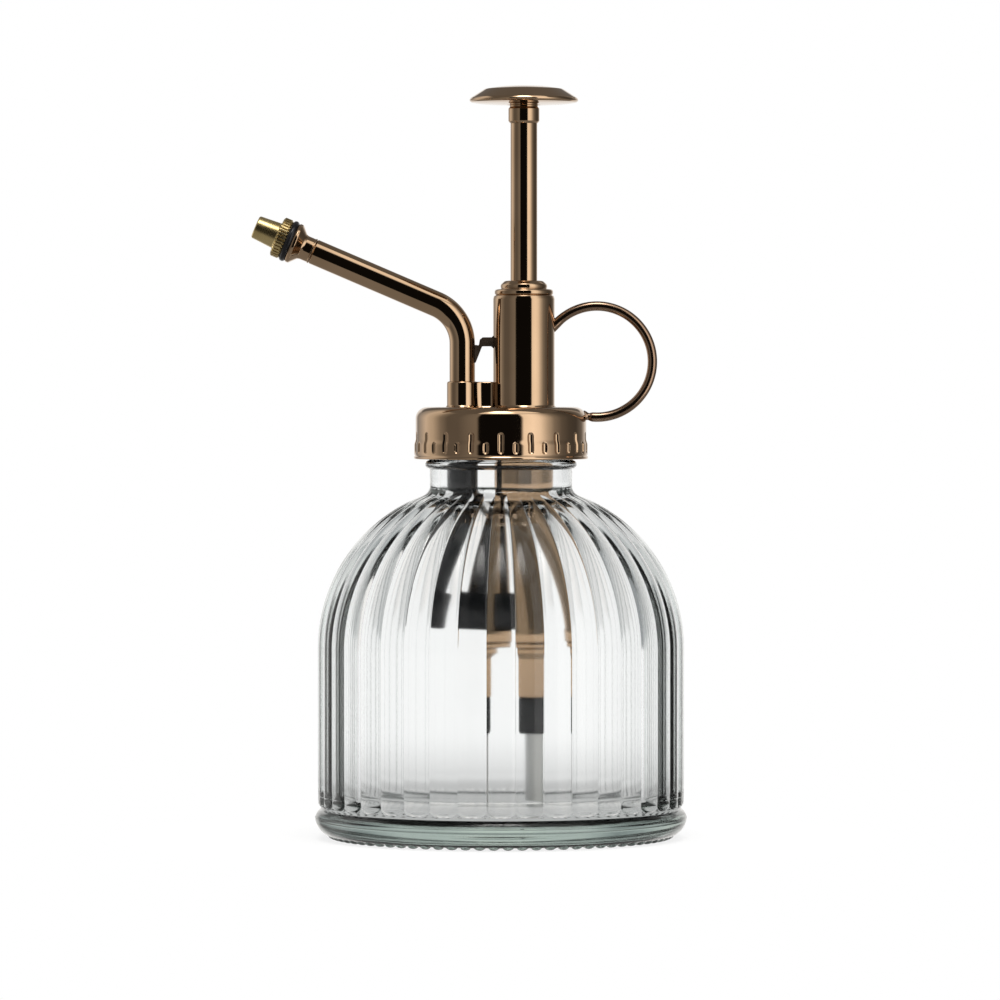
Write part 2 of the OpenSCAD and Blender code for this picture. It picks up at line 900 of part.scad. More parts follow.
bottle();
cap_gasket();
screw_cap();
turret();
pump_barrel();
retaining_nut();
gland_nut();
rod_seal();
seal_washer();
spout_tube();
spout_brace();
spout_fitting();
swirl_insert();
nozzle_seal();
nozzle();
handle_ring();
knob();
knob_ferrule();
plunger_rod();
piston_head();
piston_seal();
piston_nut();
return_spring();
valve_block();
outlet_ball();
outlet_spring();
riser_tube();
foot_valve_body();
inlet_ball();
ball_retainer();
tube_adapter();
dip_tube();
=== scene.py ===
"""Hand mister: fluted glass bottle, bronze-plated pump, brass nozzle, in the CAD's frame.

Shapes are worked out in millimetres, and make_piece and drill turn them into metres. Shaders
and the stage are in metres.
"""

import json
import math
from collections import namedtuple

import bmesh
import bpy
import numpy as np
from mathutils import Matrix, Vector


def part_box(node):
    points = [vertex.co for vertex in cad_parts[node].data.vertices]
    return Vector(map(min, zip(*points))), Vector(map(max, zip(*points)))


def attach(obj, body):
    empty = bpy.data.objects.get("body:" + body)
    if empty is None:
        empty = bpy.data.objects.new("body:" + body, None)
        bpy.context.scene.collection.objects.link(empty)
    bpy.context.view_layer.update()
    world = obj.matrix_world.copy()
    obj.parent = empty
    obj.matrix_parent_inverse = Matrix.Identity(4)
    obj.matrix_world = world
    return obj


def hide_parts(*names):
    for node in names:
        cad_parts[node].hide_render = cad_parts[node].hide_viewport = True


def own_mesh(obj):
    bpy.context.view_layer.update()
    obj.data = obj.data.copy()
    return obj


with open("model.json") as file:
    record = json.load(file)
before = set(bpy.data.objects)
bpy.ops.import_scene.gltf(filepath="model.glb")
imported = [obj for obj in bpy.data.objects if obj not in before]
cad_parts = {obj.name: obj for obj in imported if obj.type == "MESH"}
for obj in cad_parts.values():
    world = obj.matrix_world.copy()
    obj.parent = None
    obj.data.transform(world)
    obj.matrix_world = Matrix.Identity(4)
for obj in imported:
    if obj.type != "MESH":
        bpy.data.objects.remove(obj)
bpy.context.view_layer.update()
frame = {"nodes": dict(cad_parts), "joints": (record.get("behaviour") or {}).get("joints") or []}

MM = 0.001


# ------------------------------------------------------------------ measuring the frame

JOINTS = {joint["name"]: joint for joint in frame["joints"]}


def box(node):
    """Lowest and highest corner of a CAD node, in millimetres."""
    low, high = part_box(node)
    return low / MM, high / MM


def span(node, place):
    """Lowest height, highest height and largest radius of a CAD node about the Z axis of place."""
    points = np.array([v.co for v in frame["nodes"][node].data.vertices]) / MM
    inverse = np.array(place.inverted())
    points = points @ inverse[:3, :3].T + inverse[:3, 3]
    radii = np.hypot(points[:, 0], points[:, 1])
    return points[:, 2].min(), points[:, 2].max(), radii.max()


def upright_axis(node):
    """Matrix of the upright axis through the middle of a CAD node."""
    low, high = box(node)
    return Matrix.Translation(((low.x + high.x) / 2, 0, 0))


def arm_axis():
    """Matrix whose origin is the nozzle's tip and whose +Z runs back along the spout's arm."""
    joint = JOINTS["nozzle_turn"]
    forward = Vector(joint["axis"]).normalized()
    elbow = Vector(joint["pos_m"]) / MM
    reach = max((v.co / MM - elbow).dot(forward) for v in frame["nodes"]["nozzle"].data.vertices)
    tip = elbow + forward * reach
    side = Vector((0, 1, 0))
    up = side.cross(-forward)
    axes = Matrix((up, side, -forward)).transposed().to_4x4()
    return Matrix.Translation(tip) @ axes


SPOUT_R = 2.7
PUMP = upright_axis("knob")
RISER = upright_axis("riser_tube")
ARM = arm_axis()


# ------------------------------------------------------------------ outlines

def arc(centre_r, centre_z, radius, start, end, step=6.0):
    """Points on an arc, from start to end in degrees, both included."""
    count = max(2, int(abs(end - start) / step) + 1)
    angles = [math.radians(start + (end - start) * i / (count - 1)) for i in range(count)]
    return [(centre_r + radius * math.cos(a), centre_z + radius * math.sin(a)) for a in angles]


def line(start, end, step):
    """Points on a straight run, both ends included, no further apart than step."""
    count = max(1, math.ceil(math.dist(start, end) / step))
    return [
        (start[0] + (end[0] - start[0]) * i / count, start[1] + (end[1] - start[1]) * i / count)
        for i in range(count + 1)
    ]


def rounded(corners, step=12.0):
    """An outline through corners, each (r, z) or (r, z, fillet), with its fillets as arcs."""
    points = []
    for i, corner in enumerate(corners):
        here = Vector(corner[:2])
        fillet = corner[2] if len(corner) > 2 else 0
        if not fillet or i in (0, len(corners) - 1):
            points.append(tuple(here))
            continue
        back = Vector(corners[i - 1][:2]) - here
        ahead = Vector(corners[i + 1][:2]) - here
        room = 0.48 * min(back.length, ahead.length)
        back.normalize()
        ahead.normalize()
        half = back.angle(ahead) / 2
        cut = min(fillet / math.tan(half), room)
        radius = cut * math.tan(half)
        centre = here + (back + ahead).normalized() * (radius / math.sin(half))
        start = here + back * cut - centre
        turn = start.angle_signed(here + ahead * cut - centre)
        count = max(2, int(abs(math.degrees(turn)) / step) + 2)
        for k in range(count):
            spoke = start.copy()
            spoke.rotate(Matrix.Rotation(-turn * k / (count - 1), 2))
            points.append(tuple(centre + spoke))
    return points


# ------------------------------------------------------------------ meshes

def smooth(mesh, sharp_angle=32.0):
    """Smooth shading, with edges sharper than the given angle kept crisp."""
    mesh.shade_smooth()
    mesh.set_sharp_from_angle(angle=math.radians(sharp_angle))


def make_piece(name, verts, faces, body, finish, replaced=(), place=None, sharp_angle=32.0):
    """Builds a mesh, turns its faces outwards, and rides it on a CAD body."""
    mesh = bpy.data.meshes.new(name)
    mesh.from_pydata([tuple(v) for v in verts], [], faces)
    if place is not None:
        mesh.transform(place)
    mesh.transform(Matrix.Scale(MM, 4))
    cleaned = bmesh.new()
    cleaned.from_mesh(mesh)
    bmesh.ops.recalc_face_normals(cleaned, faces=cleaned.faces)
    cleaned.to_mesh(mesh)
    cleaned.free()
    smooth(mesh, sharp_angle)
    mesh.materials.append(finish.material)
    piece = bpy.data.objects.new(name, mesh)
    bpy.context.scene.collection.objects.link(piece)
    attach(piece, body)
    if replaced:
        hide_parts(*replaced)
    return piece


def turned(outline, segments, closed=False, offset=None):
    """Vertices and faces of an outline revolved about Z. A closed outline is a ring's section; an open
    one starts and ends on the axis. offset(index, angles) moves points along the outline's normal.
    segments is a number of even steps, or a list of the angles themselves."""
    points = np.array(outline)
    count = len(points)
    if closed:
        tangents = np.roll(points, -1, axis=0) - np.roll(points, 1, axis=0)
    else:
        tangents = np.gradient(points, axis=0)
    tangents /= np.maximum(np.linalg.norm(tangents, axis=1, keepdims=True), 1e-12)
    normals = np.stack([tangents[:, 1], -tangents[:, 0]], axis=1)
    if np.ndim(segments):
        angles, segments = np.array(segments), len(segments)
    else:
        angles = np.arange(segments) * 2 * math.pi / segments
    verts, rows = [], []
    for i in range(count):
        on_axis = not closed and i in (0, count - 1)
        if on_axis:
            rows.append([len(verts)] * segments)
            verts.append((0.0, 0.0, points[i, 1]))
            continue
        push = offset(i, angles) if offset else np.zeros(segments)
        r = points[i, 0] + normals[i, 0] * push
        z = points[i, 1] + normals[i, 1] * push
        first = len(verts)
        rows.append(list(range(first, first + segments)))
        verts.extend(zip(r * np.cos(angles), r * np.sin(angles), z))
    faces = []
    pairs = [(i, i + 1) for i in range(count - 1)]
    if closed:
        pairs.append((count - 1, 0))
    for low, high in pairs:
        for k in range(segments):
            n = (k + 1) % segments
            corners = [rows[low][k], rows[low][n], rows[high][n], rows[high][k]]
            faces.append(tuple(dict.fromkeys(corners)))
    return verts, faces


def lathe(name, outline, body, finish, replaced=(), place=None, segments=96,
          closed=False, offset=None, sharp_angle=32.0):
    """Builds and rides a turned piece whose axis is the Z axis of place."""
    verts, faces = turned(outline, segments, closed, offset)
    return make_piece(name, verts, faces, body, finish, replaced, place, sharp_angle)


def tube_faces(rows, sides, closed=False):
    """Faces between rows of sides vertices each: a bar with flat ends, or a ring when closed."""
    faces = [] if closed else [tuple(range(sides)), tuple(range((rows - 1) * sides, rows * sides))]
    for i in range(rows if closed else rows - 1):
        low, high = i * sides, (i + 1) % rows * sides
        for k in range(sides):
            n = (k + 1) % sides
            faces.append((low + k, low + n, high + n, high + k))
    return faces


def sweep(path, radii, sides=40):
    """Vertices and faces of a round bar along a path of points, with a radius at each, and flat ends."""
    points = [Vector(p) for p in path]
    count = len(points)
    tangents = []
    for i in range(count):
        ahead = points[min(i + 1, count - 1)] - points[max(i - 1, 0)]
        tangents.append(ahead.normalized())
    normal = tangents[0].orthogonal().normalized()
    verts = []
    for i in range(count):
        normal = (normal - tangents[i] * normal.dot(tangents[i])).normalized()
        side = tangents[i].cross(normal)
        for k in range(sides):
            a = 2 * math.pi * k / sides
            verts.append(points[i] + (normal * math.cos(a) + side * math.sin(a)) * radii[i])
    return verts, tube_faces(count, sides)


def drill(piece, holes, low_z, high_z, sharp_angle):
    """Cuts upright round holes, each an x and a radius, through a piece."""
    tool = bmesh.new()
    for x, radius in holes:
        place = Matrix.Translation((x, 0, (low_z + high_z) / 2))
        bmesh.ops.create_cone(tool, cap_ends=True, segments=96, radius1=radius, radius2=radius,
                              depth=high_z - low_z, matrix=place)
    mesh = bpy.data.meshes.new("drill")
    tool.to_mesh(mesh)
    tool.free()
    mesh.transform(Matrix.Scale(MM, 4))
    cutter = bpy.data.objects.new("drill", mesh)
    bpy.context.scene.collection.objects.link(cutter)
    cut = piece.modifiers.new("holes", "BOOLEAN")
    cut.operation = "DIFFERENCE"
    cut.solver = "EXACT"
    cut.object = cutter
    graph = bpy.context.evaluated_depsgraph_get()
    drilled = bpy.data.meshes.new_from_object(piece.evaluated_get(graph))
    piece.modifiers.remove(cut)
    piece.data = drilled
    smooth(drilled, sharp_angle)
    bpy.data.objects.remove(cutter)


def smoothstep(low, high, x):
    """0 below low, 1 above high, and an eased rise between them."""
    t = np.clip((x - low) / (high - low), 0.0, 1.0)
    return t * t * (3 - 2 * t)


# ------------------------------------------------------------------ materials

class Nodes:
    """Short ways to add nodes to a tree, and to link or set their inputs."""

    def __init__(self, tree):
        self.tree = tree

    def feed(self, socket, value):
        if isinstance(value, bpy.types.NodeSocket):
            self.tree.links.new(value, socket)
        else:
            socket.default_value = value

    def node(self, kind, inputs=None, **settings):
        made = self.tree.nodes.new(kind)
        for key, value in settings.items():
            setattr(made, key, value)
        for key, value in (inputs or {}).items():
            self.feed(made.inputs[key], value)
        return made


class Shader(Nodes):
    """A node-based material with one Principled shader and short ways to add detail to it."""

    def __init__(self, name):
        self.material = bpy.data.materials.new(name)
        self.material.use_nodes = True
        super().__init__(self.material.node_tree)
        self.bsdf = self.tree.nodes["Principled BSDF"]
        self.coords = self.node("ShaderNodeTexCoord").outputs["Object"]

    def set(self, **values):
        """Sets inputs of the Principled shader, with an underscore for each space in a name."""
        for key, value in values.items():
            self.feed(self.bsdf.inputs[key.replace("_", " ")], value)

    def noise(self, scale, detail=3.0, roughness=0.5, stretch=None):
        """A noise pattern in object space, drawn out along axes by stretch."""
        vector = self.coords
        if stretch:
            vector = self.node("ShaderNodeMapping", {"Vector": vector, "Scale": stretch}).outputs[0]
        inputs = {"Vector": vector, "Scale": scale, "Detail": detail, "Roughness": roughness}
        return self.node("ShaderNodeTexNoise", inputs).outputs["Fac"]

    def spread(self, value, low, high, start=0.3, end=0.7):
        """Maps a pattern onto the range from low to high."""
        inputs = {"Value": value, "From Min": start, "From Max": end, "To Min": low, "To Max": high}
        return self.node("ShaderNodeMapRange", inputs).outputs[0]

    def tint(self, value, low, high):
        """Mixes two colours by a pattern."""
        mixer = self.node("ShaderNodeMix", data_type="RGBA")
        self.feed(mixer.inputs["Factor"], value)
        self.feed(mixer.inputs["A"], (*low, 1.0))
        self.feed(mixer.inputs["B"], (*high, 1.0))
        return mixer.outputs["Result"]

    def bump(self, value, distance, strength=1.0):
        """Adds a bump on top of any that is there."""
        before = self.bsdf.inputs["Normal"]
        inputs = {"Height": value, "Distance": distance, "Strength": strength}
        if before.links:
            inputs["Normal"] = before.links[0].from_socket
        self.feed(before, self.node("ShaderNodeBump", inputs).outputs[0])


def bronze_material(name, dark, light, polish, grain):
    """Dark bronze plating, with faint waviness and fine hairlines. polish is its roughness and grain
    the height of its fine bump."""
    shader = Shader(name)
    cloud = shader.noise(90.0, detail=4.0)
    colour = shader.tint(shader.spread(cloud, 0.0, 1.0), dark, light)
    hairline = shader.noise(700.0, detail=2.0, stretch=(1.0, 1.0, 0.05))
    roughness = shader.spread(hairline, polish, polish + 0.04)
    shader.set(Base_Color=colour, Metallic=1.0, Roughness=roughness)
    shader.bump(shader.noise(45.0, detail=1.0), 0.00006, 0.35)
    if grain:
        shader.bump(shader.noise(2500.0, detail=2.0), grain, 0.25)
    return shader.material


def brass_material():
    """Machined brass, with turning marks across the nozzle's axis."""
    shader = Shader("machined_brass")
    joint_axis = Vector(JOINTS["nozzle_turn"]["axis"])
    inputs = {0: shader.coords, 1: tuple(joint_axis)}
    along = shader.node("ShaderNodeVectorMath", inputs, operation="DOT_PRODUCT")
    marks = shader.node(
        "ShaderNodeTexNoise", {"W": along.outputs["Value"], "Scale": 9000.0, "Detail": 3.0},
        noise_dimensions="1D",
    ).outputs["Fac"]
    cloud = shader.noise(260.0, detail=3.0)
    colour = shader.tint(shader.spread(cloud, 0.0, 1.0), (0.54, 0.41, 0.18), (0.72, 0.57, 0.29))
    shader.set(Base_Color=colour, Metallic=1.0, Roughness=shader.spread(marks, 0.24, 0.32))
    shader.bump(marks, 0.000006, 0.25)
    return shader.material


def steel_material():
    """Bright drawn steel, for the springs and balls."""
    shader = Shader("bright_steel")
    cloud = shader.noise(900.0, detail=3.0)
    colour = shader.tint(shader.spread(cloud, 0.0, 1.0), (0.60, 0.61, 0.63), (0.74, 0.75, 0.77))
    shader.set(Base_Color=colour, Metallic=1.0, Roughness=shader.spread(cloud, 0.16, 0.3))
    shader.bump(shader.noise(3000.0), 0.000004, 0.4)
    return shader.material


def polymer_material(name, dark, light, rough_low, rough_high, grain_scale, grain_height):
    """A moulded polymer: slightly cloudy colour, fine grain, uneven gloss."""
    shader = Shader(name)
    cloud = shader.noise(300.0, detail=4.0)
    colour = shader.tint(shader.spread(cloud, 0.0, 1.0), dark, light)
    grain = shader.noise(grain_scale, detail=2.0)
    gloss = shader.spread(cloud, rough_low, rough_high)
    shader.set(Base_Color=colour, Roughness=gloss, Specular_IOR_Level=0.3)
    shader.bump(grain, grain_height, 0.6)
    return shader.material


def tube_material():
    """Translucent extruded tube with faint draw lines along its length."""
    shader = Shader("translucent_tube")
    lines = shader.noise(1800.0, detail=2.0, stretch=(1.0, 1.0, 0.02))
    colour = shader.tint(shader.spread(lines, 0.0, 1.0), (0.86, 0.86, 0.84), (0.96, 0.96, 0.94))
    gloss = shader.spread(lines, 0.3, 0.42)
    shader.set(Base_Color=colour, Roughness=gloss, IOR=1.4, Transmission_Weight=0.88)
    shader.bump(lines, 0.00001, 0.5)
    return shader.material


def glass_material():
    """Soda-lime bottle glass: slow waviness from the mould, and a green tint where it is thick."""
    shader = Shader("bottle_glass")
    shader.set(Base_Color=(1.0, 1.0, 1.0, 1.0), Roughness=0.07, IOR=1.5, Transmission_Weight=1.0,
               Specular_Tint=(0.5, 0.5, 0.5, 1.0))
    shader.bump(shader.noise(60.0, detail=1.0, stretch=(1.0, 1.0, 0.3)), 0.00025, 0.15)
    shader.bump(shader.noise(900.0, detail=1.0, stretch=(1.0, 1.0, 0.04)), 0.00001, 0.12)
    tint = shader.node("ShaderNodeVolumeAbsorption", {"Color": (0.60, 0.70, 0.655, 1.0), "Density": 24.0})
    shader.feed(shader.tree.nodes["Material Output"].inputs["Volume"], tint.outputs[0])
    return shader.material


Finish = namedtuple("Finish", "slot material")

BRONZE = Finish("bronze_plate", bronze_material(
    "bronze_plate", (0.44, 0.30, 0.185), (0.50, 0.345, 0.22), 0.045, 0.000002))
# The ring's wire is the same bronze plating as the rest, with a darker base colour: painted shade, so the
# ring reads darker than the barrel.
BRONZE_WIRE_PAINTED_SHADE = Finish("bronze_plate", bronze_material(
    "bronze_wire_painted_shade", (0.27, 0.18, 0.12), (0.33, 0.22, 0.15), 0.15, 0.0))
BRASS = Finish("brass", brass_material())
STEEL = Finish("steel", steel_material())
GLASS = Finish("glass", glass_material())
TUBE = Finish("clear_plastic", tube_material())
RUBBER = Finish("black_rubber", polymer_material(
    "black_rubber", (0.004, 0.004, 0.005), (0.010, 0.010, 0.012), 0.22, 0.34, 900.0, 0.00001))
BLACK = Finish("black_plastic", polymer_material(
    "black_plastic", (0.002, 0.002, 0.003), (0.005, 0.005, 0.006), 0.10, 0.2, 500.0, 0.000008))
WHITE = Finish("white_plastic", polymer_material(
    "white_acetal", (0.74, 0.74, 0.71), (0.84, 0.84, 0.81), 0.3, 0.42, 900.0, 0.000006))
# The brace is the same bronze as the pump, given a near-black colour: painted shade.
BRACE_PAINTED_SHADE = Finish("bronze_plate", polymer_material(
    "brace_painted_shade", (0.020, 0.014, 0.010), (0.045, 0.032, 0.022), 0.18, 0.3, 900.0, 0.000006))


# ------------------------------------------------------------------ bottle

FLUTES = 40
STIPPLES = 76
STEPS_PER_FLUTE = 28
GROOVE_CROWDING = 0.7


def bottle_angles():
    """Angles round the bottle, closer together at the grooves. A rib is centred on the front."""
    steps = np.arange(FLUTES * STEPS_PER_FLUTE) / STEPS_PER_FLUTE
    place = steps - GROOVE_CROWDING * np.sin(2 * math.pi * steps) / (2 * math.pi)
    return (place + 0.5) * 2 * math.pi / FLUTES


def bottle():
    """One closed skin: pushed-up base, stippled heel, thick ring, fluted wall and dome, threaded
    finish, inside."""
    low, high = box("bottle")
    ring_r = (high.y - low.y) / 2
    lip_z = high.z
    wall_r = ring_r - 0.6
    wall = 3.0
    ring_top = 6.3
    dome_r = 34.0
    dome_z = 40.0
    dome_c = wall_r - dome_r
    neck_r = 14.9
    bore_r = 13.0
    fillet = 2.2
    bead_z, bead_r = 78.4, 0.85
    finish_from = 79.4
    inner_lip = 0.6
    foot_r = 34.8
    foot_z = 0.46
    push_r = 29.5
    push_z = 2.5
    push_middle = (18, push_z * 0.72)
    heel_r = 33
    floor_z = 5.6
    corner = 4.5
    rib_crown, rib_flank = 0.38, 0.07
    groove = rib_crown + rib_flank
    stipple_r = 35.2

    fillet_r = neck_r + fillet
    fillet_z = dome_z + math.sqrt((dome_r + fillet) ** 2 - (fillet_r - dome_c) ** 2)
    meet = math.degrees(math.atan2(fillet_z - dome_z, fillet_r - dome_c))

    outline = []
    outline += line((0, push_z), push_middle, 3)
    outline += line(push_middle, (push_r - 1, foot_z + 0.25), 1.5)[1:]
    outline += line((push_r, foot_z), (heel_r, foot_z), 1.2)
    outline += line((heel_r + 0.3, foot_z), (foot_r, foot_z), 0.2)
    outline += arc(foot_r, foot_z + ring_r - foot_r, ring_r - foot_r, -89, -50, 2.5)
    outline += arc(foot_r, foot_z + ring_r - foot_r, ring_r - foot_r, -46, -2, 5)
    outline += arc(ring_r - 2.4, ring_top - 2.2, 2.4, 8, 62, 7)
    base_end = len(outline)
    outline += line((wall_r - 0.12, ring_top + 0.35), (wall_r, 11), 0.2)
    outline += line((wall_r, 11.3), (wall_r, 12), 0.5)
    outline += line((wall_r, 12), (wall_r, dome_z), 1.4)[1:]
    outline += arc(dome_c, dome_z, dome_r, 0, meet, 1.6)[1:]
    outline += arc(fillet_r, fillet_z, fillet, meet + 180, 180, 8)[1:]
    shoulder_end = len(outline)
    outline += line((neck_r, fillet_z), (neck_r, bead_z - 1), 1)[1:]
    outline += arc(neck_r + 0.15, bead_z, bead_r, -80, 80, 16)
    outline += line((neck_r, finish_from), (neck_r, lip_z - 1.0), 0.2)
    finish_end = len(outline)
    outline += arc(neck_r - 0.9, lip_z - 0.9, 0.9, 0, 90, 15)[1:]
    outline += arc(bore_r + inner_lip, lip_z - inner_lip, inner_lip, 90, 180, 15)
    inner_r = dome_r - wall
    throat = math.degrees(math.acos((bore_r - dome_c) / inner_r))
    throat_z = dome_z + inner_r * math.sin(math.radians(throat))
    outline += line((bore_r, lip_z - 1), (bore_r, throat_z + 1), 1.5)
    outline += arc(dome_c, dome_z, inner_r, throat - 1.5, 0, 3)
    outline += line((wall_r - wall, dome_z), (wall_r - wall, floor_z + corner), 2.5)[1:]
    outline += arc(wall_r - wall - corner, floor_z + corner, corner, 0, -90, 6)[1:]
    outline += line((wall_r - wall - corner - 1, floor_z), (0, floor_z + 1.6), 3)

    points = np.array(outline)
    thread_low, pitch, turns, thread_rise = 82, 4, 1.25, 1.2

    def offset(i, angles):
        r, z = points[i]
        if base_end <= i < shoulder_end:
            return flute_offset(r, z, angles)
        if i < base_end:
            return heel_offset(r, z, angles)
        if i < finish_end and z > finish_from - 0.1:
            return thread_offset(z, angles)
        return np.zeros(len(angles))

    def flute_offset(r, z, angles):
        """Convex ribs with narrow grooves between them; the grooves die out at the neck and the base."""
        across = np.abs(2 * ((angles * FLUTES / (2 * math.pi) + 0.5) % 1.0) - 1)
        rib = -rib_crown * across ** 2 - rib_flank * across ** 10
        fade = 1 - smoothstep(fillet_z - 3.2, fillet_z - 0.4, z)
        rib_end = ring_top + 0.55 + 1.5 * (1 - np.sqrt(1 - across ** 2))
        rise = smoothstep(-0.25, 0.35, z - rib_end)
        return (-groove + (rib + groove) * rise) * fade * (r / wall_r) ** 0.7

    def heel_offset(r, z, angles):
        """A row of round feet under the heel, with their tips on the ground."""
        across = ((angles * STIPPLES / (2 * math.pi)) % 1.0 - 0.5) * (2 * math.pi * r / STIPPLES)
        along = math.dist((r, z), (stipple_r, foot_z))
        squared = (across / 1.05) ** 2 + (along / 1.15) ** 2
        height = foot_z if z < 3 else 0.0
        return height * np.sqrt(np.clip(1 - squared, 0, 1))

    def thread_offset(z, angles):
        """The screw thread's ridge on the finish."""
        ridge = np.zeros(len(angles))
        for turn in (0, 1):
            centre = thread_low + pitch * (angles / (2 * math.pi) + turn)
            ends = smoothstep(0, 0.03, angles / (2 * math.pi) + turn)
            ends *= 1 - smoothstep(turns - 0.03, turns, angles / (2 * math.pi) + turn)
            ridge = np.maximum(ridge, ends * (1 - smoothstep(0.35, 0.95, np.abs(z - centre))))
        return thread_rise * ridge

    lathe("bottle_glass", outline, "bottle", GLASS, ["bottle"], segments=bottle_angles(),
          offset=offset, sharp_angle=60)


# ------------------------------------------------------------------ cap

CAP_RIBS = 18
CAP_SEGMENTS = 1152


def screw_cap():
    """Pressed cap: rounded shoulder, capsule-shaped grip ribs, rolled lower edge, hollow inside."""
    low, high = box("screw_cap")
    top_z, foot_z = high.z, low.z
    skirt_r = 18.2
    side_r = 17.9
    wall = 1.0
    skirt_z = 83.0
    roll_z = 80.6
    inner_r = side_r - wall - 0.05
    shoulder = 2.4
    rib_r = 0.6
    rib_rise = 0.36
    rib_foot = 80.75
    long_top, short_top = 85.15, 83.15

    outline = [(0, top_z)]
    outline += line((2, top_z), (side_r - shoulder - 0.6, top_z), 2)
    outline += arc(side_r - shoulder, top_z - shoulder, shoulder, 88, 2, 5)
    outline += line((side_r, top_z - shoulder - 0.2), (side_r, long_top + 0.25), 0.5)
    outline += line((side_r, long_top + 0.15), (side_r, skirt_z + 0.8), 0.12)
    for t in np.linspace(0.08, 1, 12):
        flare = (skirt_r - side_r) * smoothstep(0, 1, t)
        outline.append((side_r + flare, skirt_z + (0.8 - 1.4 * t)))
    outline += line((skirt_r, skirt_z - 0.72), (skirt_r, roll_z), 0.12)
    outline += rounded([
        (skirt_r, roll_z - 0.1), (skirt_r - 0.12, roll_z - 0.4, 0.1),
        (skirt_r + 0.08, roll_z - 0.65, 0.15), (skirt_r + 0.02, foot_z, 0.25),
        (skirt_r - 0.9, foot_z + 0.02, 0.2), (inner_r, foot_z + 0.4, 0.1),
        (inner_r, top_z - wall, shoulder - wall), (0, top_z - wall),
    ])
    points = np.array(outline)

    def offset(i, angles):
        """Grip ribs: capsules with round ends, long and short by turns, the first long one at the front."""
        r, z = points[i]
        if r < side_r - 0.05 or not roll_z - 0.3 < z < long_top + 0.45:
            return np.zeros(len(angles))
        step = 2 * math.pi / CAP_RIBS
        turned_from_front = angles + math.pi / 2
        push = np.zeros(len(angles))
        for shift, top in ((0.0, long_top), (step / 2, short_top)):
            across = ((turned_from_front - shift + step / 2) % step - step / 2) * r
            beyond = max(0.0, z - (top - rib_r), (rib_foot + rib_r) - z)
            inside = 1 - (across ** 2 + beyond ** 2) / rib_r ** 2
            push = np.maximum(push, rib_rise * np.clip(inside, 0, 1) ** 0.6)
        return push

    shell = lathe("cap_shell", outline, "head", BRONZE, ["screw_cap"],
                  segments=CAP_SEGMENTS, offset=offset, sharp_angle=50)
    barrel_hole = (PUMP.translation.x, span("pump_barrel", PUMP)[2] - 0.3)
    spout_hole = (RISER.translation.x, 2.25)
    drill(shell, [barrel_hole, spout_hole], top_z - 2 * wall, top_z + wall, sharp_angle=50)


# ------------------------------------------------------------------ pump

def pump_barrel():
    """Plain tube with a braze at the cap. It is a shade narrower where it passes the cap, out of sight."""
    low_z, top_z, radius = span("pump_barrel", PUMP)
    bore = 5.4
    low_r = radius - 0.25
    cap_z = box("screw_cap")[1].z
    outline = rounded([
        (bore, low_z), (radius - 0.2, low_z, 0.2), (radius, low_z + 0.3, 0.2),
        (radius, 43.6, 0.3), (low_r, 43.9, 0.2), (low_r, cap_z - 1),
        (low_r, cap_z - 0.02), (radius + 0.3, cap_z, 0.02), (radius, cap_z + 0.35, 0.4),
        (radius, top_z - 0.75, 0.3), (radius - 0.18, top_z - 0.1, 0.3),
        (radius - 0.5, top_z, 0.2), (bore, top_z, 0.1),
    ])
    lathe("barrel_tube", outline, "head", BRONZE, ["pump_barrel"], PUMP, segments=160, closed=True)


def gland_nut():
    """Nut with a rounded step and a small dome, bored for the rod."""
    foot_z, top_z, _ = span("gland_nut", PUMP)
    barrel_top = span("pump_barrel", PUMP)[1]
    bore = span("plunger_rod", PUMP)[2] + 0.06
    step_r, dome_r = 6.14, 4.9
    outline = rounded([
        (bore, foot_z + 2.5), (4.2, foot_z + 2.5), (4.2, foot_z), (5.38, foot_z),
        (5.38, barrel_top + 0.02), (step_r - 0.25, barrel_top + 0.02, 0.05),
        (step_r, barrel_top + 0.3, 0.2), (step_r, barrel_top + 1.15, 0.75),
        (dome_r - 0.1, barrel_top + 1.4, 0.2), (dome_r, barrel_top + 1.75, 0.3),
        (dome_r - 0.05, top_z - 0.85, 0.6), (dome_r - 0.85, top_z - 0.1, 0.8),
        (3.35, top_z - 0.02, 0.2), (bore, top_z - 0.35, 0.1),
    ], step=6)
    lathe("gland_cap", outline, "head", BRONZE, ["gland_nut"], PUMP, segments=144, closed=True)


